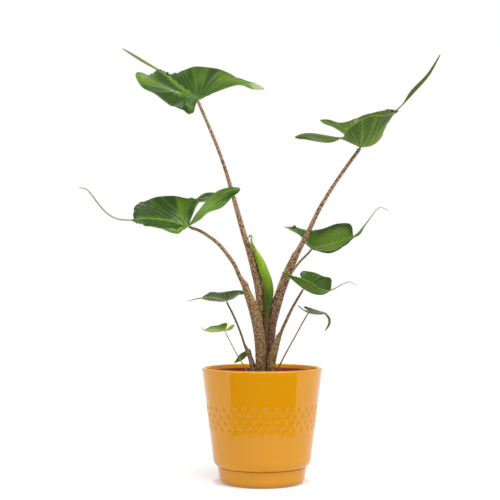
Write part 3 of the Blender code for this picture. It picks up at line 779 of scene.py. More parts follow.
# %% Soil bed
SOIL_EDGE_Z = 115.5
SOIL_CROWN = 2.0
SOIL_SIDES = 120
SOIL_RINGS = 34
SOIL_SEED = 7
SOIL_ROUGHNESS = 1.1
SOIL_WAVES = 60
WAVE_PITCH = 0.55

soil_top = nursery_inner_radius(SOIL_EDGE_Z) - GAP
floor_z = foot_z + NURSERY_WALL + GAP
soil_profile = [(0, floor_z), (nursery_inner_radius(floor_z) - GAP, floor_z), (soil_top, SOIL_EDGE_Z)]
for share in np.linspace(1, 0, SOIL_RINGS)[1:]:
    soil_profile.append((soil_top * max(share, 0.01), SOIL_EDGE_Z + SOIL_CROWN * (1 - share * share)))
soil = turned(soil_profile + [(0, SOIL_EDGE_Z + SOIL_CROWN)], SOIL_SIDES)

draw = np.random.default_rng(SOIL_SEED)
waves = draw.normal(size=(SOIL_WAVES, 2)) * WAVE_PITCH
phases = draw.uniform(0, 2 * math.pi, SOIL_WAVES)
places = points_of(soil)
lumps = np.cos(places[:, :2] @ waves.T + phases).sum(axis=1) / math.sqrt(SOIL_WAVES)
inner = 1 - ease(np.hypot(places[:, 0], places[:, 1]), soil_top - 3, soil_top)
places[:, 2] += lumps * SOIL_ROUGHNESS * inner * (places[:, 2] > SOIL_EDGE_Z - 1)
move_points(soil, places)
print("soil surface raised and lowered by up to", round(float(abs(lumps).max() * SOIL_ROUGHNESS), 2), "mm")

# %% Crumbs on the soil
CRUMBS = 620
CHIPS_SHARE = 0.12
GRAIN_SHARE = 0.05
CHIP_SHAPE = (2.4, 1.3, 0.45)
RIM_CLEARANCE = 3


def scatter_crumbs(count):
    """One mesh of squashed balls that lie on the soil."""
    ball, unit = unit_ball(2)
    faces = np.array([p.vertices for p in ball.data.polygons])
    points = []
    shades = []
    for _ in range(count):
        kind = draw.uniform()
        size = draw.uniform(0.5, 1.5)
        shape = draw.uniform(0.6, 1.3, 3)
        if kind < CHIPS_SHARE:
            shape = np.array(CHIP_SHAPE) * draw.uniform(0.8, 1.3)
        spin = draw.uniform(0, 2 * math.pi)
        lean = draw.normal(scale=0.35, size=2)
        body = unit * (1 + draw.normal(scale=0.12, size=(len(unit), 1))) * shape * size
        body[:, 2] += body[:, 0] * lean[0] + body[:, 1] * lean[1]
        cos, sin = math.cos(spin), math.sin(spin)
        turn = np.array([[cos, sin, 0], [-sin, cos, 0], [0, 0, 1]])
        distance = (soil_top - RIM_CLEARANCE) * math.sqrt(draw.uniform())
        around = draw.uniform(0, 2 * math.pi)
        height = SOIL_EDGE_Z + SOIL_CROWN * (1 - (distance / soil_top) ** 2) + 0.3
        points.append(body @ turn + [distance * math.cos(around), distance * math.sin(around), height])
        tone = 1.0 if kind > 1 - GRAIN_SHARE else (0.5 if kind < CHIPS_SHARE else draw.uniform(0, 0.3))
        shades.append(np.full(len(unit), tone))
    offsets = np.arange(count)[:, None, None] * len(unit)
    mesh = bpy.data.meshes.new("crumbs")
    mesh.from_pydata(np.concatenate(points) * MM, [], (faces[None] + offsets).reshape(-1, 3).tolist())
    ball.data = mesh
    note(ball, tone=np.concatenate(shades))
    return ball


crumbs = scatter_crumbs(CRUMBS)
note(soil, tone=np.zeros(len(soil.data.vertices)))
print("crumbs:", CRUMBS)

# %% Soil finish
PEAT = light((46, 32, 22))
PEAT_DARK = light((22, 14, 9))
BARK = light((104, 66, 38))
GRAIN = light((205, 198, 180))

earth = Finish("potting_mix", roughness=0.95, specular=0.2)
spot = place(earth)
crumble = noise(earth, spot, 700.0, 5.0, 0.7)
tone = attribute(earth, "tone")
peat = blend(earth, step(earth, crumble, 0.35, 0.65), PEAT_DARK, PEAT)
bark = blend(earth, step(earth, tone, 0.1, 0.5), peat, BARK)
earth.set("Base Color", blend(earth, step(earth, tone, 0.8, 0.95), bark, GRAIN))
bump(earth, crumble, 0.0007)
wear(soil, earth)
wear(crumbs, earth)
settle(soil, "soil_bed", "soil")
settle(crumbs, "soil_crumbs", None)

# %% [markdown]
# ## Leaf shapes
#
# Each blade has a near and a far half. A half is described by three lines in mm: the inner one follows
# the edge of the notch between the lobes and then the midrib, the middle one runs over the wing, and
# the outer one is the margin. They start at the tip of the rear lobe and end at the neck of the tail.
# The first row of a half is that tip. Rows of nine numbers follow the lobe up to the stalk and give an
# inner, a middle and an outer place. Rows of six follow the wing and give a middle and an outer place
# beside each midrib point, the stalk's own first. The plain solids are made from these lines too, so
# the finer blades lie where those do.

# %% Leaf lines in mm
BLADES = {
    "1": dict(
        midrib=[(-77, 30, 451.5), (-88, 38, 461), (-101, 47, 472.5), (-115, 56, 486)],
        near=[
            (-82, -28, 426.5), (-78.5, -22, 435, -84, -28, 435.5, -90, -29, 430),
            (-75.5, -8, 445.5, -87, -20, 446, -100.5, -32, 433.5),
            (-75, 12, 454, -91.5, -8, 454, -110.5, -32, 438.5), (-101, -4, 457, -123.5, -30, 448.5),
            (-116.5, 0, 462.5, -139.5, -20, 459), (-131, 12, 473, -148, -4, 478.5),
            (-128, 38, 482.5, -135.5, 26, 482),
        ],
        far=[
            (3.5, 40, 467.5), (-11, 38, 466.5, -10, 42, 471, -8, 47, 476),
            (-28.5, 36, 471, -27, 48, 477, -24, 60, 482.5),
            (-56.5, 33, 461.5, -51, 54, 478, -41.5, 72, 493.5), (-69.5, 56, 476.5, -61.5, 80, 501.5),
            (-84.5, 60, 480.5, -79.5, 84, 504), (-99.5, 64, 485, -97, 84, 499),
            (-114, 66, 489.5, -112.5, 76, 493),
        ],
        tail=[(-128.5, 64, 496), (-145.5, 72, 507), (-160.5, 80, 517.5), (-174.5, 86, 527)],
        tail_half=[1.4, 2.1, 1.9, 0.5],
        tail_face=(0.2, -0.75, 0.6),
    ),
    "2": dict(
        midrib=[(117, 10, 392), (130, 6, 394), (139.5, 0, 401.5), (145.5, -6, 416)],
        near=[
            (38.5, -6, 402.5), (54.5, -4, 407.5, 52.5, -10, 403, 50, -12, 399),
            (75.5, 0, 405.5, 76, -10, 399.5, 78, -16, 394), (94.5, 5, 402, 93, -6, 401.5, 93, -18, 400.5),
            (110, -8, 399, 101.5, -25, 411), (124.5, -16, 404.5, 115.5, -34, 419.5),
            (136, -18, 410, 131.5, -36, 423), (145, -16, 418.5, 145.5, -26, 425),
        ],
        far=[
            (71, 40, 429.5), (78, 36, 424, 79.5, 42, 427, 82.5, 46, 430),
            (87, 30, 419.5, 90, 38, 423.5, 93, 44, 427), (99.5, 20, 409, 103, 32, 417.5, 107.5, 44, 429),
            (122, 30, 411, 122, 42, 435), (135.5, 20, 413, 133.5, 34, 437), (143, 12, 418, 143, 24, 438),
            (149, 2, 426, 151, 8, 437.5),
        ],
        tail=[(156.5, -12, 432.5), (164.5, -15, 440), (174.5, -20, 453), (192, -26, 472), (205, -32, 494)],
        tail_half=[1.0, 0.7, 2.8, 2.0, 0.5],
        tail_face=(-0.3, -0.8, 0.5),
    ),
    "3": dict(
        midrib=[
            (-86, -10, 297), (-102.5, -12, 302.5), (-120, -12, 305.5), (-136.5, -10, 306.5),
            (-144.5, -9, 306),
        ],
        near=[
            (-25.5, -22, 340.5), (-41, -16, 342, -38, -19, 338, -34.5, -22, 331.5),
            (-56, -12, 336, -51, -18, 328, -46.5, -24, 318.5),
            (-72.5, -10, 318.5, -68.5, -18, 314.5, -63.5, -26, 310.5), (-89, -24, 294, -89.5, -38, 291.5),
            (-103.5, -30, 293.5, -102, -46, 285.5), (-119.5, -30, 297.5, -116, -46, 292.5),
            (-137.5, -24, 301, -135.5, -36, 297.5), (-145, -16, 302.5, -143.5, -22, 301),
        ],
        far=[
            (-48.5, 18, 336), (-58, 16, 331, -57.5, 20, 335.5, -57, 22, 339.5),
            (-68, 12, 328.5, -68, 20, 333.5, -67.5, 24, 338.5),
            (-77, 6, 324.5, -77, 16, 329.5, -77, 24, 333), (-88.5, 8, 316.5, -88.5, 24, 333.5),
            (-106, 6, 319, -107.5, 26, 335.5), (-124, 8, 320, -126.5, 24, 334),
            (-139.5, 4, 317.5, -141, 16, 328.5), (-148.5, 0, 313.5, -150.5, 6, 321),
        ],
        tail=[
            (-150, -8, 304.5), (-168, -6, 306), (-181, -4, 312.5), (-191, -2, 323), (-199.5, 0, 334),
            (-206.5, 2, 341.5), (-215.5, 4, 344),
        ],
        tail_half=[0.9, 0.8, 0.8, 0.8, 0.7, 0.6, 0.3],
        tail_face=(0, -0.8, 0.6),
    ),
    "4": dict(
        midrib=[(61, 32, 273), (76, 30, 276.5), (94, 28, 281.5)],
        near=[
            (45.5, 24, 288.5), (50, 26, 283.5, 50, 22, 282.5, 50, 18, 282.5),
            (55.5, 29, 278, 55, 20, 276, 56, 12, 277.5), (63, 16, 270.5, 67, 2, 270),
            (78, 10, 269.5, 81, -4, 266), (97.5, 14, 277, 99, 4, 276.5),
        ],
        far=[
            (27.5, 60, 301), (44, 52, 292, 42.5, 56, 296, 41, 58, 300.5),
            (52.5, 42, 284.5, 54.5, 52, 290.5, 56, 58, 296.5), (66.5, 48, 286.5, 74.5, 60, 298),
            (84, 44, 291, 93.5, 56, 304.5), (100.5, 36, 294.5, 108, 44, 302.5),
        ],
        tail=[
            (110, 26, 287), (116, 25, 290.5), (122.5, 24, 299.5), (130.5, 22, 310.5), (137, 20, 319),
            (142, 19, 321.5), (150, 17, 318.5),
        ],
        tail_half=[1.2, 1.9, 0.9, 0.5, 0.4, 0.35, 0.3],
        tail_face=(0, -0.8, 0.6),
    ),
    "5": dict(
        midrib=[(47.5, -20, 224.5), (58.5, -24, 219), (70, -28, 218)],
        near=[
            (22, -42, 243.5), (32.5, -36, 236.5, 33, -39, 238, 34, -42, 239.5),
            (41, -28, 229.5, 42, -36, 233, 44, -42, 236.5), (50, -34, 228, 54, -44, 232),
            (61, -36, 222.5, 65.5, -42, 225), (72, -34, 221, 74, -37, 223),
        ],
        far=[
            (45, 6, 242), (46, 2, 238, 46.5, 4, 241.5, 48.5, 6, 245.5),
            (46.5, -8, 231.5, 50.5, 0, 237.5, 55, 8, 245), (56, -6, 233.5, 63.5, 4, 243),
            (65, -10, 230, 72.5, 0, 239), (75, -16, 226.5, 80.5, -8, 236),
        ],
        tail=[(78.5, -30, 223), (84, -32, 225.5), (92, -34, 230), (99.5, -36, 232.5), (106.5, -38, 229)],
        tail_half=[0.7, 0.5, 0.4, 0.35, 0.3],
        tail_face=(0, -0.8, 0.6),
    ),
    "6": dict(
        midrib=[(55, 0, 197.5), (64.5, 0, 197)],
        near=[
            (41.5, -14, 205.5), (47.5, -8, 201, 45.5, -11, 201.5, 44.5, -14, 202.5),
            (54, -9, 196.5, 53, -18, 197.5), (64, -8, 195.5, 63.5, -15, 195),
        ],
        far=[
            (49.5, 14, 203.5), (52, 9, 201, 52, 12, 202, 53.5, 15, 203), (58, 9, 199, 60, 18, 201),
            (66, 8, 198, 67.5, 14, 198.5),
        ],
        tail=[(74.5, 2, 195.5), (78.5, 2, 190), (79, 2, 184.5), (77, 2, 180), (73.5, 2, 175)],
        tail_half=[1.2, 1.6, 1.4, 1.1, 0.3],
        tail_face=(0.4, -0.8, 0.4),
    ),
    "7": dict(
        midrib=[(-42, 6, 210.5), (-51.5, 6, 213), (-61.5, 6, 214.5)],
        near=[
            (-25.5, -8, 220.5), (-31.5, -2, 218, -32, -8, 216, -31.5, -14, 214.5),
            (-42, -6, 210.5, -41, -18, 210.5), (-52, -6, 211.5, -51, -18, 210),
            (-62, -3, 212, -61.5, -11, 211),
        ],
        far=[
            (-19, 30, 219), (-28.5, 22, 217.5, -28, 26, 220, -26.5, 30, 222.5),
            (-39.5, 20, 216.5, -37.5, 32, 222), (-51, 18, 217.5, -50, 28, 220),
            (-61.5, 13, 218, -61, 20, 220.5),
        ],
        tail=[(-71, 4, 213.5), (-76.5, 3, 213), (-82, 2, 211.5), (-86.5, 0, 210)],
        tail_half=[0.7, 0.5, 0.4, 0.3],
        tail_face=(0, -0.8, 0.6),
    ),
    "8": dict(
        midrib=[(-43, -8, 175), (-57, -8, 177)],
        near=[
            (-31.5, -16, 183), (-37.5, -12, 181, -36.5, -16, 179.5, -36.5, -20, 177.5),
            (-46.5, -16, 176.5, -48, -24, 175.5), (-57.5, -15, 176, -58, -20, 174.5),
        ],
        far=[
            (-41, 8, 183.5), (-41.5, 2, 180, -43.5, 6, 181.5, -45, 9, 184),
            (-48, 2, 178.5, -52, 10, 181.5), (-58.5, -1, 178.5, -60, 5, 180.5),
        ],
        tail=[(-67.5, -8, 176.5), (-69, -8, 178), (-70.5, -8, 181.5)],
        tail_half=[0.7, 0.5, 0.3],
        tail_face=(0, -0.8, 0.6),
    ),
}
print("blades:", len(BLADES))

# %% [markdown]
# ## From lines to a blade
#
# The three lines of each half become the rows of a fine grid. Two things are worked out on the way. The
# first is where the side veins run: on the wing they leave the midrib at a slant, and over the lobe they
# fan out from the stalk. The second is the relief that goes with them, because the blade puffs up a
# little between two veins and waves along its margin.

# %% Rows of one half
SHEET_STEPS = 16
SHEET_COLUMNS = 32
TAIL_STEPS = 10
CREASE = 0.12
CREASES = {
    "1": {"near": 0.9, "far": 0.3}, "2": {"near": 0.3, "far": 0.5}, "3": {"near": 0.5, "far": 0.2},
}
TIP_ROUNDING = 0.6
POINTED_LOBES = {"1": {"far": 0.15}, "4": {"far": 0.0}}


def tail_sides(centre, half, face, towards):
    """Points along one edge of the tail, whose flat side turns to face."""
    edge = []
    for i in range(len(centre)):
        along = centre[min(i + 1, len(centre) - 1)] - centre[max(i - 1, 0)]
        side = np.cross(along, face)
        side = side / np.linalg.norm(side)
        if side @ towards < 0:
            side = -side
        towards = side
        edge.append(centre[i] + side * half[i])
    return np.array(edge)


def round_the_tip(inner, middle, outer, rounding):
    """Widens the first rows of a lobe so that its tip is round."""
    for i in range(1, SHEET_STEPS):
        share = i / SHEET_STEPS
        widen = 1 + rounding * (math.sqrt((2 - share) / share) - 1)
        for line in (inner, outer):
            line[i] = middle[i] + (line[i] - middle[i]) * widen


def across_shares(crease):
    """How much of each line a column takes. A crease of 1 folds the half at its middle line."""
    v = np.linspace(0, 1, SHEET_COLUMNS + 1)[None, :, None]
    bend = np.sqrt((2 * v - 1) ** 2 + CREASE**2 * 4 * v * (1 - v))
    inner = (1 - crease) * (1 - v) * (1 - 2 * v) + crease * (bend - (2 * v - 1)) / 2
    outer = (1 - crease) * v * (2 * v - 1) + crease * (bend + (2 * v - 1)) / 2
    return v, inner, 1 - inner - outer, outer


def half_rows(leaf, half, crease, rounding):
    """The rows of one half, with the number of the stalk's row and of the neck's."""
    neck = np.array(leaf["tail"][0], float)
    tip, *strips = leaf[half]
    lobe = [np.reshape(strip, (3, 3)) for strip in strips if len(strip) == 9]
    wing = [np.reshape(strip, (2, 3)) for strip in strips if len(strip) == 6]
    centre = through(leaf["tail"], TAIL_STEPS)
    widths = through(np.array(leaf["tail_half"])[:, None], TAIL_STEPS)[:, 0]
    towards = wing[-1][1] - neck
    edge = tail_sides(centre, widths, np.array(leaf["tail_face"]), towards)
    notch = [tip] + [row[0] for row in lobe] + [leaf["midrib"][0]]
    inner = through(notch, SHEET_STEPS)[:-1]
    inner = np.vstack([inner, through(leaf["midrib"] + [tuple(neck)], SHEET_STEPS)])
    middle = [tip] + [row[1] for row in lobe] + [row[0] for row in wing] + [(neck + edge[0]) / 2]
    outer = [tip] + [row[2] for row in lobe] + [row[1] for row in wing] + [edge[0]]
    middle = through(middle, SHEET_STEPS)
    outer = through(outer, SHEET_STEPS)
    round_the_tip(inner, middle, outer, rounding)
    v, inner_share, middle_share, outer_share = across_shares(crease)
    blade = inner_share * inner[:, None] + middle_share * middle[:, None]
    blade = blade + outer_share * outer[:, None]
    blade[-1] = centre[0] + (edge[0] - centre[0]) * v[0]
    tail = centre[1:, None] + (edge[1:, None] - centre[1:, None]) * v
    return np.concatenate([blade, tail]), (len(lobe) + 1) * SHEET_STEPS, len(blade) - 1


print("columns in a half:", SHEET_COLUMNS + 1)


# %% Veins of one half
VEIN_SLANT = 0.62
VEIN_SLANTS = {"3": 1.15, "1": 0.8}
VEIN_SHARE = 0.150
VEIN_FAN = 0.30
LOBE_RIB_SHARE = 0.40


def vein_fields(rows, joint, neck, slant):
    """For each point: vein number, vein spacing, distance from a rib, and shares across and along."""
    along = lengths(rows[:, 0])
    along = along - along[joint]
    steps = np.linalg.norm(np.diff(rows, axis=1), axis=2)
    across = np.concatenate([np.zeros((len(rows), 1)), np.cumsum(steps, axis=1)], axis=1)
    width = across[:, -1:]
    along = along[:, None] + 0 * across
    length = along[neck, 0]
    pitch = length * VEIN_SHARE
    start = along - across * slant * (0.7 + 0.5 * across / np.maximum(width, 1e-6))
    turn = np.arctan2(across, along)
    first = math.atan2(1, slant)
    fan = -(turn - first) / VEIN_FAN
    reach = np.hypot(along, across)
    number = np.where(start >= 0, start / pitch, fan)
    spacing = np.where(start >= 0, pitch * 0.85, np.minimum(reach * VEIN_FAN, pitch * 2))
    back = np.clip(-along / max(-along[0, 0], 1e-6), 0, 1)
    rib = np.abs(across - LOBE_RIB_SHARE * width * ease(back, 0.0, 0.35))
    return number, spacing, rib, across / np.maximum(width, 1e-6), along / length


print("side veins along a midrib:", round(1 / VEIN_SHARE, 1))


# %% Relief of one half
PUFF = 1.5
MARGIN_WAVE = 0.6
RIB_SINK = 0.35


def raised(rows, fields, neck, scale, seed):
    """Moves rows along their normals: puffs between veins, sinks the ribs and waves the margin."""
    number, spacing, rib, share, along = fields
    down = np.gradient(rows, axis=0)
    across = np.gradient(rows, axis=1)
    normal = units(np.cross(across, down))
    if normal[: neck + 1, :, 2].sum() < 0:
        normal = -normal
    between = np.abs(np.sin(math.pi * number))
    inside = ease(rib, 0.0, 3.0 * scale) * (1 - ease(share, 0.6, 0.97))
    height = PUFF * scale * (between - 0.6) * inside * ease(spacing, 1.0, 5.0)
    sway = np.sin(number * 2.3 + seed) + 0.5 * np.sin(number * 3.9 + 2.1 * seed)
    height = height + MARGIN_WAVE * scale * sway * ease(share, 0.55, 1.0)
    height = height - RIB_SINK * scale * np.exp(-((rib / (1.6 * scale)) ** 2)) * ease(share, 0.0, 0.05)
    row = np.arange(len(rows))[:, None]
    height = height * (1 - ease(row, neck - SHEET_STEPS * 0.6, neck)) * ease(row, 0, SHEET_STEPS * 0.8)
    return rows + normal * height[..., None]


print("from a vein to the top of its puff:", PUFF, "mm at full relief")


# %% Rolled margins
ROLLS = {
    "3": {"near": (0.86, 3.0, 8.0, -0.02, 0.42)},
    "4": {"near": (0.88, 1.6, 4.0, 0.1, 0.9)},
}
ROLL_FADE = 0.15


def margin_rolled(rows, fields, roll):
    """Rolls the outermost part of a wing up over itself. roll: share, radius, length, and where it runs."""
    start, radius, length, begin, end = roll
    along = fields[-1]
    column = int(start * SHEET_COLUMNS)
    across = units(rows[:, column + 1] - rows[:, column - 1])
    normal = units(np.cross(across, np.gradient(rows[:, column], axis=0)))
    normal = normal * np.sign(normal[:, 2].sum())
    travelled = np.linspace(0, length, SHEET_COLUMNS + 1 - column)[None, :, None]
    turn = travelled / radius
    swing = np.sin(turn) * across[:, None] + (1 - np.cos(turn)) * normal[:, None]
    rolled = rows[:, column, None] + radius * swing
    fade = ease(along[:, 0], begin - ROLL_FADE, begin + ROLL_FADE)
    fade = fade * (1 - ease(along[:, 0], end - ROLL_FADE, end + ROLL_FADE))
    made = rows.copy()
    made[:, column:] += fade[:, None, None] * (rolled - rows[:, column:])
    return made


print("leaves with a rolled margin:", list(ROLLS))


# %% Patches of painted light, sheen and shade on the blades
# Each patch: place along the midrib, place across the half, its two sizes, and how much lighter it is.
# Most patches are painted light, sheen and shade; the light ones along the midrib are its own paler colour.
PAINTED_LIGHT_AND_TONE_PATCHES = {
    "1": {
        "near": [
            (0.75, 0.30, 0.45, 0.22, -1.0), (0.25, 0.20, 0.30, 0.16, -0.5), (0.42, 0.88, 0.24, 0.24, 1.7),
            (-0.02, 0.55, 0.34, 0.10, 1.8), (0.02, 0.98, 0.40, 0.26, -1.1), (-0.50, 0.78, 0.38, 0.28, -1.0),
            (0.50, 0.08, 0.60, 0.10, 0.9),
        ],
        "far": [
            (0.55, 0.30, 0.50, 0.35, -0.7), (0.15, 0.45, 0.10, 0.40, 0.5), (-1.12, 0.50, 0.27, 0.9, 2.8),
            (-0.55, 0.75, 0.35, 0.25, 0.9), (0.60, 0.03, 0.70, 0.08, 0.4), (-0.05, 0.85, 0.10, 0.15, -0.6),
        ],
    },
    "2": {
        "near": [
            (0.60, 0.20, 0.40, 0.22, 1.0), (0.85, 0.80, 0.30, 0.40, -1.2), (0.10, 0.80, 0.40, 0.25, -0.3),
        ],
        "far": [(0.5, 0.5, 1.1, 0.8, 0.4)],
    },
    "3": {
        "near": [
            (0.20, 0.95, 0.30, 0.14, 1.2), (-0.45, 0.50, 0.30, 0.6, 1.25), (0.75, 0.60, 0.20, 0.4, -0.6),
        ],
        "far": [
            (0.85, 0.55, 0.25, 0.40, -0.8), (0.35, 0.55, 0.12, 0.50, -0.8), (0.10, 0.50, 0.10, 0.50, 0.5),
        ],
    },
    "4": {
        "near": [(0.45, 0.30, 0.40, 0.50, 0.6), (0.50, 1.0, 0.9, 0.15, -0.6)],
        "far": [(0.45, 0.40, 0.35, 0.45, 0.8), (0.60, 0.95, 0.9, 0.22, -0.9), (-1.05, 0.5, 0.26, 0.9, 2.6)],
    },
    "5": {"near": [(0.30, 0.60, 0.80, 0.40, 0.5)], "far": [(0.60, 0.60, 0.60, 0.50, -0.6)]},
    "6": {},
    "7": {"near": [(0.20, 0.40, 0.40, 0.50, -0.8)], "far": [(0.20, 0.60, 0.40, 0.40, -0.6)]},
    "8": {"near": [(0.8, 0.6, 0.3, 0.5, 0.6)]},
}


def painted_light_and_tone(fields, patches):
    """The sum of the soft patches of painted light, sheen and shade at each point."""
    share, along = fields[-2:]
    tone = np.zeros(share.shape)
    for place_along, place_across, long, wide, amount in patches:
        far_off = ((along - place_along) / long) ** 2 + ((share - place_across) / wide) ** 2
        tone = tone + amount * np.exp(-far_off)
    return tone


print("soft patches:", sum(len(patches) for halves in PAINTED_LIGHT_AND_TONE_PATCHES.values() for patches in halves.values()))


# %% [markdown]
# ## Leaf finishes
#
# The upper face is a satin deep green that turns yellow-green along the midrib, with fine paler veins.
# The underside is paler and duller, and its veins stand out more. The cut edge of the blade is a thin
# pale line. The two faces read the vein fields that are stored on the mesh, so the pattern follows the
# leaf, and they carry the patches of painted light, sheen and shade.

# %% Leaf finish
RIB_WIDTHS = {"1": 3.2, "2": 1.0, "3": 0.9, "4": 0.6, "5": 0.6, "6": 0.4, "7": 0.7, "8": 0.4}
SPECULARS = {"1": 0.30, "3": 0.42, "6": 0.08, "7": 0.12}
STRIPES = {"1": 0.4, "2": 0.5, "3": 0.6, "4": 0.15, "5": 0.3, "6": 0.1, "7": 0.3, "8": 0.1}
VEIN_WIDTH = 0.35
PLAIN_SPECULAR = 0.26
# painted sheen: a pale grey-green for lit, glossy parts of the blades, also for the pale curled lobe tips
PAINTED_SHEEN_AND_PALE_TIPS = light((158, 168, 128))
THREAD_GREY = light((182, 188, 160))
LEAF_GRAIN_DEPTH = 0.00005


def leaf_finish(name, key, colours, roughness, vein_strength, tail_colour):
    """The finish of one face of a blade. colours: base, deep, vein and rib."""
    base, deep, vein, rib_colour = colours
    finish = Finish(name, roughness=roughness, specular=SPECULARS.get(key, PLAIN_SPECULAR))
    spot = place(finish)
    number = attribute(finish, "vein_number")
    spacing = attribute(finish, "vein_spacing")
    rib = attribute(finish, "rib_distance")
    share = attribute(finish, "margin_share")
    tail = attribute(finish, "tail_share")
    tone = attribute(finish, "tone")
    lobe = attribute(finish, "lobe_share")
    part = finish.node("ShaderNodeMath", {"operation": "PINGPONG"}, {0: number, 1: 0.5})
    vein_mask = 1 - step(finish, part * spacing, VEIN_WIDTH * 0.3, VEIN_WIDTH * 2.2)
    vein_mask = vein_mask * step(finish, spacing, 0.8, 2.5) * step(finish, rib, 0.5, 2.0)
    fine = finish.node("ShaderNodeMath", {"operation": "PINGPONG"}, {0: number * 5.0, 1: 0.5})
    fine_mask = (1 - step(finish, fine, 0.0, 0.25)) * step(finish, spacing, 2.0, 5.0)
    rib_mask = (1 - step(finish, rib, RIB_WIDTHS[key] * 0.6, RIB_WIDTHS[key] * 1.8)) * (1 - 0.75 * lobe)
    glow = (1 - step(finish, rib, 0.0, 7.0)) * (1 - lobe)
    patches = noise(finish, spot, 55.0, 3.0)
    fleck = noise(finish, spot, 420.0, 3.0)
    # painted light and shade from the patch tone: darker towards deep, lighter towards vein, then sheen
    shade = step(finish, 0.5 * patches + STRIPES[key] * (part - 0.2) - 0.35 * tone, 0.05, 0.5)
    colour = blend(finish, shade, base, deep)
    colour = blend(finish, 0.55 * tone.at_least(0.0).up_to(1.0), colour, vein)
    colour = blend(finish, step(finish, tone, 1.1, 1.9), colour, PAINTED_SHEEN_AND_PALE_TIPS)
    colour = blend(finish, 0.08 * fine_mask + 0.06 * fleck, colour, vein)
    colour = blend(finish, 0.30 * glow, colour, rib_colour)
    colour = blend(finish, vein_strength * vein_mask, colour, vein)
    colour = blend(finish, 0.9 * rib_mask, colour, rib_colour)
    colour = blend(finish, 0.55 * step(finish, share, 0.975, 1.0), colour, vein)
    colour = blend(finish, tail, colour, tail_colour)
    colour = blend(finish, 0.8 * attribute(finish, "tail_end"), colour, THREAD_GREY)
    finish.set("Base Color", colour)
    finish.set("Roughness", roughness + 0.16 * patches - 0.06)
    bump(finish, 0.6 * fleck + 0.4 * fine_mask, LEAF_GRAIN_DEPTH)
    return finish


print("midrib width setting of each leaf:", RIB_WIDTHS)


# %% Leaf colours
LEAF_LOOKS = {
    "1": ((60, 94, 2), (30, 58, 1), (104, 136, 34), (92, 128, 14)),
    "2": ((66, 92, 12), (42, 66, 6), (118, 140, 54), (124, 150, 46)),
    "3": ((52, 88, 3), (24, 54, 1), (114, 148, 46), (108, 146, 40)),
    "4": ((60, 92, 2), (28, 52, 1), (108, 138, 34), (112, 146, 36)),
    "5": ((58, 86, 10), (36, 60, 4), (102, 128, 44), (106, 132, 42)),
    "6": ((84, 98, 12), (62, 78, 8), (126, 140, 50), (128, 142, 50)),
    "7": ((58, 78, 24), (38, 56, 12), (130, 146, 92), (138, 154, 92)),
    # leaf 8's lighter yellow-green is partly painted light, for light that shines through the blade
    "8": ((116, 144, 16), (96, 128, 10), (150, 172, 60), (152, 174, 62)),
}
UNDERSIDE_LIFT = 1.6
THREAD_TAILS = ("4", "5", "7")
TAIL_COLOURS = {
    "1": (92, 112, 40), "2": (70, 82, 8), "3": (88, 112, 50), "4": (84, 112, 44), "5": (104, 122, 66),
    "6": (80, 100, 12), "7": (96, 108, 56), "8": (144, 154, 50),
}
print("leaf looks:", sorted(LEAF_LOOKS))

# %% [markdown]
# ## Blades
#
# The two halves are laid as grids, joined and merged along the midrib. A Solidify modifier gives the
# sheet its thickness and puts another finish on the underside and on the cut edge.

# %% Make the blades
BLADE_THICKNESS = 0.62
PLAIN_GLOSS = 0.32
UNDERSIDE_GLOSS = 0.5
UNDERSIDE_VEINS = 0.45
FAR_SEED = 1.7
VEIN_STRENGTHS = {"1": 0.28, "2": 0.3, "3": 0.36, "4": 0.06, "5": 0.2, "6": 0.1, "7": 0.4, "8": 0.1}
GLOSS = {"1": 0.30, "3": 0.24, "4": 0.28}
RELIEF_SCALES = {"1": 1.0, "2": 0.8, "3": 1.3, "4": 0.35, "5": 0.25, "6": 0.2, "7": 0.25, "8": 0.2}


def sheet_half(key, half, scale, seed):
    """One half of a blade, with the fields that its finish reads."""
    crease = CREASES.get(key, {}).get(half, 0.0)
    rounding = POINTED_LOBES.get(key, {}).get(half, TIP_ROUNDING)
    rows, joint, neck = half_rows(BLADES[key], half, crease, rounding)
    fields = vein_fields(rows, joint, neck, VEIN_SLANTS.get(key, VEIN_SLANT))
    # painted light and shade: the patches give a tone that the finish reads
    tone = painted_light_and_tone(fields, PAINTED_LIGHT_AND_TONE_PATCHES[key].get(half, []))
    rows = raised(rows, fields, neck, scale, seed)
    if half in ROLLS.get(key, {}):
        rows = margin_rolled(rows, fields, ROLLS[key][half])
    obj, row, column = laid(rows)
    number, spacing, rib, share, along = fields
    at = (row, column)
    note(obj, vein_number=number[at], vein_spacing=spacing[at], rib_distance=rib[at])
    note(obj, margin_share=share[at], tail_share=ease(row, neck - 2, neck + 6))
    note(obj, tail_end=ease(row, neck + 10, len(rows)) * (key in THREAD_TAILS))
    note(obj, lobe_share=1 - ease(along[at], -0.12, 0.0), tone=tone[at])
    return obj


def blade_sheet(key, scale, seed):
    """Both halves in one sheet, its upper face up."""
    near = sheet_half(key, "near", scale, seed)
    sheet = joined([near, sheet_half(key, "far", scale, seed + FAR_SEED)])
    welded(sheet)
    sheet.data.update()
    if sum(face.normal.z * face.area for face in sheet.data.polygons) < 0:
        sheet.data.flip_normals()
    return sheet


def blade_finishes(key):
    looks = LEAF_LOOKS[key]
    tail = light(TAIL_COLOURS[key])
    above = [light(c) for c in looks]
    below = [light(c, UNDERSIDE_LIFT) for c in looks[:2]] + above[2:]
    top = leaf_finish("upper_face_" + key, key, above, GLOSS.get(key, PLAIN_GLOSS), VEIN_STRENGTHS[key], tail)
    under = leaf_finish("underside_" + key, key, below, UNDERSIDE_GLOSS, UNDERSIDE_VEINS, tail)
    edge = Finish("margin_" + key, roughness=0.5)
    edge.set("Base Color", blend(edge, noise(edge, place(edge), 300.0), light(looks[2]), light(looks[3])))
    return top, under, edge


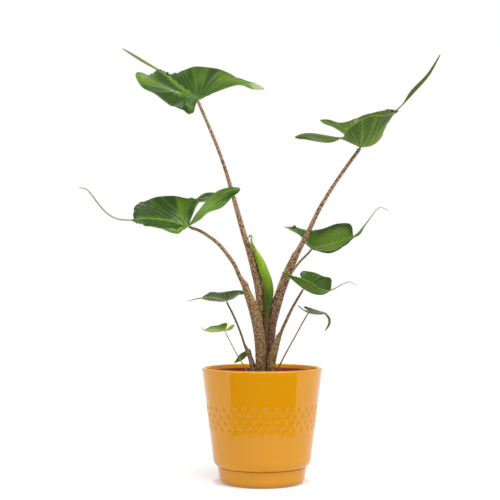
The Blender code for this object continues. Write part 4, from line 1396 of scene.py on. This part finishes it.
for key, relief in RELIEF_SCALES.items():
    sheet = blade_sheet(key, relief, float(key))
    wear(sheet, *blade_finishes(key))
    apply_modifier(
        sheet, "SOLIDIFY", thickness=BLADE_THICKNESS * MM, offset=0, material_offset=1, material_offset_rim=2
    )
    bpy.ops.object.shade_smooth()
    settle(sheet, "leaf_" + key, "blade_" + key)

# %% [markdown]
# ## Stalks
#
# A stalk is a long tube that widens towards the soil, where the larger ones form a sheath: a rolled
# edge that wraps the next stalk. The tube is a grid wrapped round a smooth line. Its points store a
# vector that runs round and along the skin, the share of the way down, and how near the sheath's edge
# is, so that the zebra-like mottling follows the stalk and grows denser at its foot.

# %% Stalk lines in mm, from the blade down: (x, y, z, radius)
STALKS = {
    "1": [
        (-76.5, 30, 450, 1.9), (-69, 28, 432.5, 1.9), (-55.5, 24, 400.5, 2.0), (-45, 21, 371.5, 2.1),
        (-35.5, 18.5, 340, 2.5), (-27.5, 16, 311, 3.0), (-20, 13, 285, 3.4), (-14, 11.5, 268, 4.4),
        (-8, 10, 247, 5.3), (-3.5, 9, 225.5, 5.2), (-1.2, 8.8, 199.5, 5.2), (-2, 10, 165, 5.3),
        (-2.5, 10.5, 128, 5.3),
    ],
    "2": [
        (116.5, 10, 390.5, 2.1), (106, 9.5, 377, 2.1), (86, 8.5, 348.5, 2.1), (68.5, 7.5, 320, 2.4),
        (54.5, 6.5, 291.5, 2.8), (43.5, 6, 270.5, 3.3), (35.5, 5.5, 255, 4.6), (27.5, 5.5, 236, 5.4),
        (22, 5.5, 221, 5.5), (16, 6, 202, 6.0), (11, 6.5, 182, 6.2), (9.5, 7, 158.5, 6.0), (9.5, 7, 128, 6.0),
    ],
    "3": [
        (-85.5, -10, 295.5, 1.7), (-76, -10, 293.5, 1.8), (-64, -10, 287, 1.9), (-50.5, -10, 276.5, 2.1),
        (-40.5, -10, 264.5, 2.2), (-32.5, -10, 253, 2.3), (-26.5, -9.5, 240, 2.5), (-21, -9.5, 229.5, 3.3),
        (-16.5, -9, 218.5, 4.6), (-11, -9, 204.5, 5.8), (-6.5, -9.5, 188.5, 6.3), (-3.5, -10, 171, 6.4),
        (-2, -10, 153.5, 6.2), (-1.5, -10, 128, 6.1),
    ],
    "4": [
        (61, 32, 272, 1.2), (52, 30, 263.5, 1.3), (43.5, 28, 254.5, 1.4), (33.5, 25, 240, 1.5),
        (23, 21, 216, 1.7), (15.5, 18.5, 185.5, 1.8), (12.5, 17, 158, 1.9), (12, 17, 128, 1.9),
    ],
    "5": [
        (47, -20, 223, 1.3), (41, -19, 213.5, 1.4), (33.5, -17, 200, 1.6), (27, -15, 186, 1.8),
        (21.5, -13, 173.5, 2.2), (17.5, -11.5, 163, 3.5), (14, -10.5, 151.5, 4.5), (11, -9.5, 139.5, 5.0),
        (10.5, -9, 128, 5.1),
    ],
    "6": [
        (54.5, 0, 196.5, 0.8), (47.5, 0, 185, 0.85), (40.5, 0, 172, 0.9), (32, -0.5, 157, 0.9),
        (24.5, -1, 143, 0.95), (18, -1, 128, 1.0),
    ],
    "7": [
        (-42, 6, 209, 1.0), (-36.5, 4.5, 199.5, 1.1), (-30, 3, 185.5, 1.2), (-24.5, 1, 171.5, 1.4),
        (-20.5, -0.5, 159.5, 1.9), (-16.5, -1.5, 151, 3.2), (-12.5, -2.5, 140.5, 3.9), (-10, -3, 128, 4.1),
    ],
    "8": [
        (-43, -8, 174, 0.65), (-37.5, -7.5, 164, 0.65), (-31, -7, 151.5, 0.7), (-24.5, -6.5, 140.5, 0.75),
        (-17.5, -6, 128, 0.8),
    ],
}
STEM_FOOT_Z = 86.0
NOSE_DROP = 0.45
NOSE_LENGTH = 2.2
NOSE_TAPER = 0.4
print("stalks:", len(STALKS))


# %% Wrap a tube round a line
TUBE_SIDES = 40


def frames(line):
    """Two directions square to the line at each point, turning as little as they can."""
    along = units(np.gradient(line, axis=0))
    side = units(np.cross(along[0], (0, 1, 0)))
    sides = []
    for direction in along:
        side = units(side - direction * (side @ direction))
        sides.append(side)
    sides = np.array(sides)
    return sides, np.cross(along, sides)


def tube(line, radii, section, edge_angle):
    """A closed tube. section gives the radius factor at each share of the way down and angle."""
    sides, fronts = frames(line)
    turn = np.linspace(0, 2 * math.pi, TUBE_SIDES + 1)
    turn[-1] = 0
    down = lengths(line)
    share = down / down[-1]
    factor = section(share[:, None], turn[None, :])
    around = sides[:, None] * np.cos(turn)[None, :, None] + fronts[:, None] * np.sin(turn)[None, :, None]
    rows = line[:, None] + around * (radii[:, None] * factor)[..., None]
    ends = [np.repeat(line[:1, None], TUBE_SIDES + 1, axis=1), rows]
    ends.append(np.repeat(line[-1:, None], TUBE_SIDES + 1, axis=1))
    obj, row, column = laid(np.concatenate(ends))
    row = np.clip(row - 1, 0, len(line) - 1)
    angle = turn[column]
    size = radii[row]
    note_vector(obj, "skin", np.stack([np.cos(angle) * size, np.sin(angle) * size, down[row]], axis=1))
    note(obj, way_down=share[row], angle=np.cos(angle - edge_angle))
    welded(obj)
    bpy.ops.object.shade_smooth()
    return obj


print("sides of a tube:", TUBE_SIDES)


# %% Stalk finish
SKIN_DEPTH = 0.00015


def stalk_finish(name, upper, lower, spot_colour, density, sheath):
    """Mottled skin: pale above, brown and densely spotted below, and olive along the sheath's edge."""
    finish = Finish(name, roughness=0.42, specular=0.45)
    skin = attribute(finish, "skin", "Vector")
    down = attribute(finish, "way_down")
    dashes = noise(finish, stretch(finish, skin, (0.36, 0.36, 0.62)), 1.0, 1.0, 0.5)
    dots = noise(finish, stretch(finish, skin, (0.9, 0.9, 1.3)), 1.0, 1.0, 0.5)
    ground = blend(finish, step(finish, down, 0.25, 0.8), upper, lower)
    beside_edge = step(finish, attribute(finish, "angle"), 0.86, 0.99)
    beside_edge = beside_edge * step(finish, down, sheath, sheath + 0.02)
    fading = 1 - step(finish, down, sheath + 0.05, sheath + 0.35)
    ground = blend(finish, 0.7 * beside_edge * fading, ground, SHEATH_EDGE)
    level = 0.52 - density * step(finish, down, 0.1, 0.75)
    dash_mask = step(finish, dashes - level, -0.02, 0.05)
    dot_mask = step(finish, dots - level, -0.01, 0.05)
    colour = blend(finish, dash_mask * 0.85, ground, spot_colour)
    colour = blend(finish, dot_mask * 0.6, colour, spot_colour)
    finish.set("Base Color", colour)
    finish.set("Roughness", 0.36 + 0.18 * dashes)
    bump(finish, dots, SKIN_DEPTH)
    return finish


print("skin relief in mm:", SKIN_DEPTH / MM)


# %% Stalk colours
STALK_LOOKS = {
    "1": ((172, 132, 98), (192, 156, 110), (82, 50, 26), 0.05),
    "2": ((178, 138, 102), (162, 128, 96), (70, 38, 20), 0.06),
    "3": ((164, 130, 86), (168, 136, 94), (84, 54, 26), 0.05),
    "4": ((178, 144, 70), (162, 120, 66), (104, 64, 26), 0.02),
    "5": ((150, 104, 74), (176, 156, 92), (84, 58, 30), 0.03),
    "6": ((196, 140, 106), (178, 122, 86), (116, 70, 44), 0.00),
    "7": ((128, 106, 56), (206, 172, 146), (84, 58, 34), 0.03),
    "8": ((198, 156, 120), (186, 144, 102), (124, 84, 54), 0.00),
}
SHEATHS = {
    "1": (0.50, 0.9, 0.2, 0.15), "2": (0.45, 2.4, 2.9, 0.25), "3": (0.40, 0.8, 0.1, 0.45),
    "5": (0.42, 2.2, 2.9, 0.50), "7": (0.49, 0.8, 0.0, 0.60),
}
SHEATH_GROOVE = 0.16
SHEATH_LIP = 0.10
COLLAR_LENGTH = 0.014
SHEATH_EDGE = light((164, 156, 92))
SLIMMING = {"7": 0.80}


def sheath_section(key):
    """Radius factor of a stalk whose lower part is wrapped by its sheath's free edge."""
    start, angle, collar_angle, collar = SHEATHS.get(key, (2.0, 0.0, 0.0, 0.0))

    def factor(share, turn):
        apart = np.angle(np.exp(1j * (turn - angle)))
        grown = ease(share, start, start + 0.05)
        groove_dip = SHEATH_GROOVE * np.exp(-((apart / 0.16) ** 2))
        lip_rise = SHEATH_LIP * np.exp(-(((apart - 0.38) / 0.30) ** 2))
        beside = np.angle(np.exp(1j * (turn - collar_angle)))
        flare = collar * np.exp(-((beside / 0.8) ** 2)) * np.exp(-(((share - start) / COLLAR_LENGTH) ** 2))
        return 1 + grown * (lip_rise - groove_dip) + flare

    return factor


print("stalks with a sheath:", list(SHEATHS))


# %% Make the stalks
STEM_STEPS = 10
SLIM_HEIGHTS = (160, 175)


def stem_line(knots):
    """The smooth line of a stem and its radii. It goes on straight down into the soil."""
    x, y, z, radius = knots[-1]
    below = [(x, y, (z + STEM_FOOT_Z) / 2, radius), (x, y, STEM_FOOT_Z, radius)]
    line = through(list(knots) + below, STEM_STEPS)
    return line[:, :3], line[:, 3]


for key, knots in STALKS.items():
    joint = np.array(BLADES[key]["midrib"][0], float)
    line, radii = stem_line(knots)
    down = units(line[STEM_STEPS] - joint)
    tip = joint + down * NOSE_DROP
    nose = joint + down * (NOSE_DROP + NOSE_LENGTH)
    line = np.vstack([[tip], [(tip + nose) / 2], [nose], line[STEM_STEPS // 2 :]])
    radii = np.concatenate([[radii[0] * NOSE_TAPER, radii[0] * 0.8, radii[0]], radii[STEM_STEPS // 2 :]])
    radii = radii * (1 + (SLIMMING.get(key, 1.0) - 1) * (1 - ease(line[:, 2], *SLIM_HEIGHTS)))
    sheath, edge_angle = SHEATHS.get(key, (2.0, 0.0))[:2]
    stalk = tube(line, radii, sheath_section(key), edge_angle)
    upper, lower, spots, density = STALK_LOOKS[key]
    wear(stalk, stalk_finish("stalk_skin_" + key, light(upper), light(lower), light(spots), density, sheath))
    settle(stalk, "stalk_" + key, "petiole_" + key)

# %% [markdown]
# ## Rolled leaf
#
# The newest leaf stands rolled like a scroll between the two tall stalks. Its section is a spiral with
# one free edge, and its tail ends in a small hook. It is bright green above, with painted shade that
# darkens it towards its stalk.

# %% Make the rolled leaf
ROLLED_LEAF = [
    (-15.5, 5, 284.5, 0.5), (-14, 5, 287.5, 0.5), (-12, 5, 286, 0.5), (-12.5, 5, 281.5, 0.6),
    (-10.5, 5, 275.5, 0.9), (-8, 5, 270.5, 1.5), (-4.5, 4.5, 263, 2.5), (-1, 4.5, 255.5, 3.5),
    (2.5, 4, 245.5, 4.1), (6.5, 4, 234, 4.3), (8, 3.5, 223, 4.5), (8, 3, 212.5, 4.0), (6.5, 2, 202, 3.0),
    (5.5, 0.5, 190.5, 2.3), (4.5, -0.5, 176.5, 2.1), (4.5, -0.5, 153, 2.0), (4.5, -0.5, 128, 2.0),
]
ROLL_EDGE_ANGLE = 3.6
ROLL_OVERLAP = 0.24


def roll_section(share, turn):
    """A spiral: the radius grows round the turn and drops at the free edge."""
    apart = np.mod(turn - ROLL_EDGE_ANGLE, 2 * math.pi) / (2 * math.pi)
    rolled = ease(share, 0.10, 0.16) * (1 - ease(share, 0.50, 0.58))
    return 1 + rolled * ROLL_OVERLAP * (apart - 0.6)


ROLL_FULLNESS = 1.3
ROLL_HEIGHTS = (180, 226)
HOOK_FULLNESS = 0.5
HOOK_HEIGHTS = (272, 280)

line, radii = stem_line(ROLLED_LEAF)
fuller = 1 + (ROLL_FULLNESS - 1) * ease(line[:, 2], *ROLL_HEIGHTS)
radii = radii * fuller * (1 + HOOK_FULLNESS * ease(line[:, 2], *HOOK_HEIGHTS))
roll = tube(line, radii, roll_section, ROLL_EDGE_ANGLE)
print("widest radius of the rolled leaf in mm:", round(float(radii.max()), 2))

# %% Rolled leaf finish
NEW_GREEN = light((124, 158, 2))
NEW_SHADE_AND_STREAKS = light((58, 82, 2))
NEW_EDGE = light((166, 188, 28))
NEW_STALK = light((120, 96, 58))
NEW_STALK_SPOT = light((62, 38, 20))

fresh = Finish("new_leaf_skin", roughness=0.36, specular=0.45)
skin = attribute(fresh, "skin", "Vector")
down = attribute(fresh, "way_down")
streak = noise(fresh, stretch(fresh, skin, (0.9, 0.9, 0.12)), 1.0, 3.0)
# painted shade: the leaf is darker down towards its stalk; the streaks below are its own colour
tint = blend(fresh, step(fresh, down, 0.20, 0.42), NEW_GREEN, NEW_SHADE_AND_STREAKS)
tint = blend(fresh, 0.35 * step(fresh, streak, 0.4, 0.7), tint, NEW_SHADE_AND_STREAKS)
tint = blend(fresh, 0.6 * step(fresh, attribute(fresh, "angle"), 0.90, 0.985), tint, NEW_EDGE)
mottle = step(fresh, noise(fresh, stretch(fresh, skin, (0.5, 0.5, 0.9)), 1.0, 1.0), 0.46, 0.54)
stem = blend(fresh, mottle, NEW_STALK, NEW_STALK_SPOT)
fresh.set("Base Color", blend(fresh, step(fresh, down, 0.47, 0.53), tint, stem))
bump(fresh, streak, SKIN_DEPTH)
wear(roll, fresh)
settle(roll, "leaf_scroll", "rolled_leaf")

# %% [markdown]
# ## Dried knots
#
# Where a tail leaves its blade, and at the tip of one lobe, the margin has dried into a small dark
# crumple. The rolled leaf has a few greener nubs along its free edge. Each is a ball whose surface is
# pushed in and out by waves, because a crumple has no shape that lines could describe.

# %% Make the knots
KNOTS = {
    "knots_1": ((-128.0, 62, 494.5, 1.5, 1.1), (-125.0, 64, 495.5, 1.2, 0.8), (-116.2, 66, 492.6, 1.2, 0.9)),
    "knots_2": ((154.6, -14, 430.6, 2.6, 1.7), (151.5, -13, 432.0, 1.8, 1.1), (157.5, -13, 431.6, 1.6, 0.9)),
    "knots_3": (
        (-147.8, -10, 303.6, 2.0, 1.5), (-150.5, -10, 304.6, 1.5, 1.0), (-145.5, -12, 301.6, 1.6, 1.2),
    ),
    "knots_4": ((40.4, 58, 300.4, 1.9, 2.1), (38.6, 58.3, 299.6, 1.5, 1.3)),
    "knots_roll": ((-9.6, 3, 274.0, 1.1, 1.5), (-10.8, 3, 268.6, 1.2, 1.3), (-7.6, 2, 260.8, 1.1, 1.3)),
}
KNOT_WAVES = 0.32
KNOT_FINENESS = 4


def knot(x, y, z, wide, high, number):
    """One crumpled ball of a size in mm at a place in mm."""
    ball, unit = unit_ball(KNOT_FINENESS)
    folds = np.sin(unit[:, 0] * 5 + number) * np.sin(unit[:, 1] * 6 + 2 * number) * np.sin(unit[:, 2] * 5 + 1)
    move_points(ball, unit * (1 + KNOT_WAVES * folds[:, None]) * [wide, wide, high] + [x, y, z])
    return ball


dried = Finish("dried_crumple", roughness=0.6)
crust = noise(dried, place(dried), 600.0, 3.0)
dried.set("Base Color", blend(dried, crust, light((44, 62, 12)), light((92, 100, 40))))
bump(dried, crust, 0.0002)
nub = Finish("new_leaf_nub", roughness=0.5)
nub.set("Base Color", blend(nub, noise(nub, place(nub), 500.0), light((70, 96, 4)), light((120, 150, 10))))

for name, places in KNOTS.items():
    group = joined([knot(*where, number) for number, where in enumerate(places)])
    bpy.ops.object.transform_apply(location=True, rotation=True, scale=True)
    bpy.ops.object.shade_smooth()
    on_roll = name == "knots_roll"
    wear(group, nub if on_roll else dried)
    settle(group, name, None)

# %% [markdown]
# ## Young leaf
#
# Low on the left a young leaf has only just opened. It is a narrow blade, folded along its midrib, that
# points down to the rim. It is made like the others, from a grid for each half, on a thin stalk.

# %% Make the young leaf
YOUNG_STALK = [(-14, 6, 152, 1.0), (-13, 6, 148, 1.0), (-12.5, 5.5, 141, 1.0), (-12.5, 5, 128, 1.0)]
YOUNG_SPINE = [(-13.2, 6, 152.4), (-18.5, 5, 148.5), (-25, 3, 143.5), (-33, 0, 137.5)]
YOUNG_SIDES = ([(-18, 2.5, 146), (-24, 0, 141)], [(-20, 7.5, 151), (-27, 6, 146.5)])
YOUNG_COLUMNS = 8
YOUNG_SPACING = 1.6
YOUNG_WIDTH = 4.0
YOUNG_LOOKS = ((58, 84, 4), (34, 56, 2), (96, 118, 22), (104, 128, 26))
YOUNG_SKIN = ((120, 112, 60), (104, 84, 56), (66, 48, 30))

halves = []
for side in YOUNG_SIDES:
    inner = through(YOUNG_SPINE, SHEET_STEPS)
    outer = through([YOUNG_SPINE[0]] + side + [YOUNG_SPINE[-1]], SHEET_STEPS)
    v = np.linspace(0, 1, YOUNG_COLUMNS + 1)[None, :, None]
    rows = inner[:, None] * (1 - v) + outer[:, None] * v
    half, row, column = laid(rows)
    share = column / YOUNG_COLUMNS
    none = np.zeros(len(row))
    note(half, vein_number=row / 4 - column / 3, vein_spacing=none + YOUNG_SPACING)
    note(half, rib_distance=share * YOUNG_WIDTH, margin_share=share)
    note(half, tail_share=none, tail_end=none, lobe_share=none, tone=none)
    halves.append(half)
young = joined(halves)
welded(young)
young_looks = [light(c) for c in YOUNG_LOOKS]
young_finish = leaf_finish("young_face", "8", young_looks, 0.36, 0.35, young_looks[0])
wear(young, young_finish)
apply_modifier(young, "SOLIDIFY", thickness=BLADE_THICKNESS * MM, offset=0)
bpy.ops.object.shade_smooth()
settle(young, "leaf_young", "young_leaf")

line, radii = stem_line(YOUNG_STALK)
young_stalk = tube(line, radii, sheath_section("none"), 0.0)
young_skin = [light(c) for c in YOUNG_SKIN]
wear(young_stalk, stalk_finish("stalk_skin_young", *young_skin, 0.05, 2.0))
settle(young_stalk, "stalk_young", None)
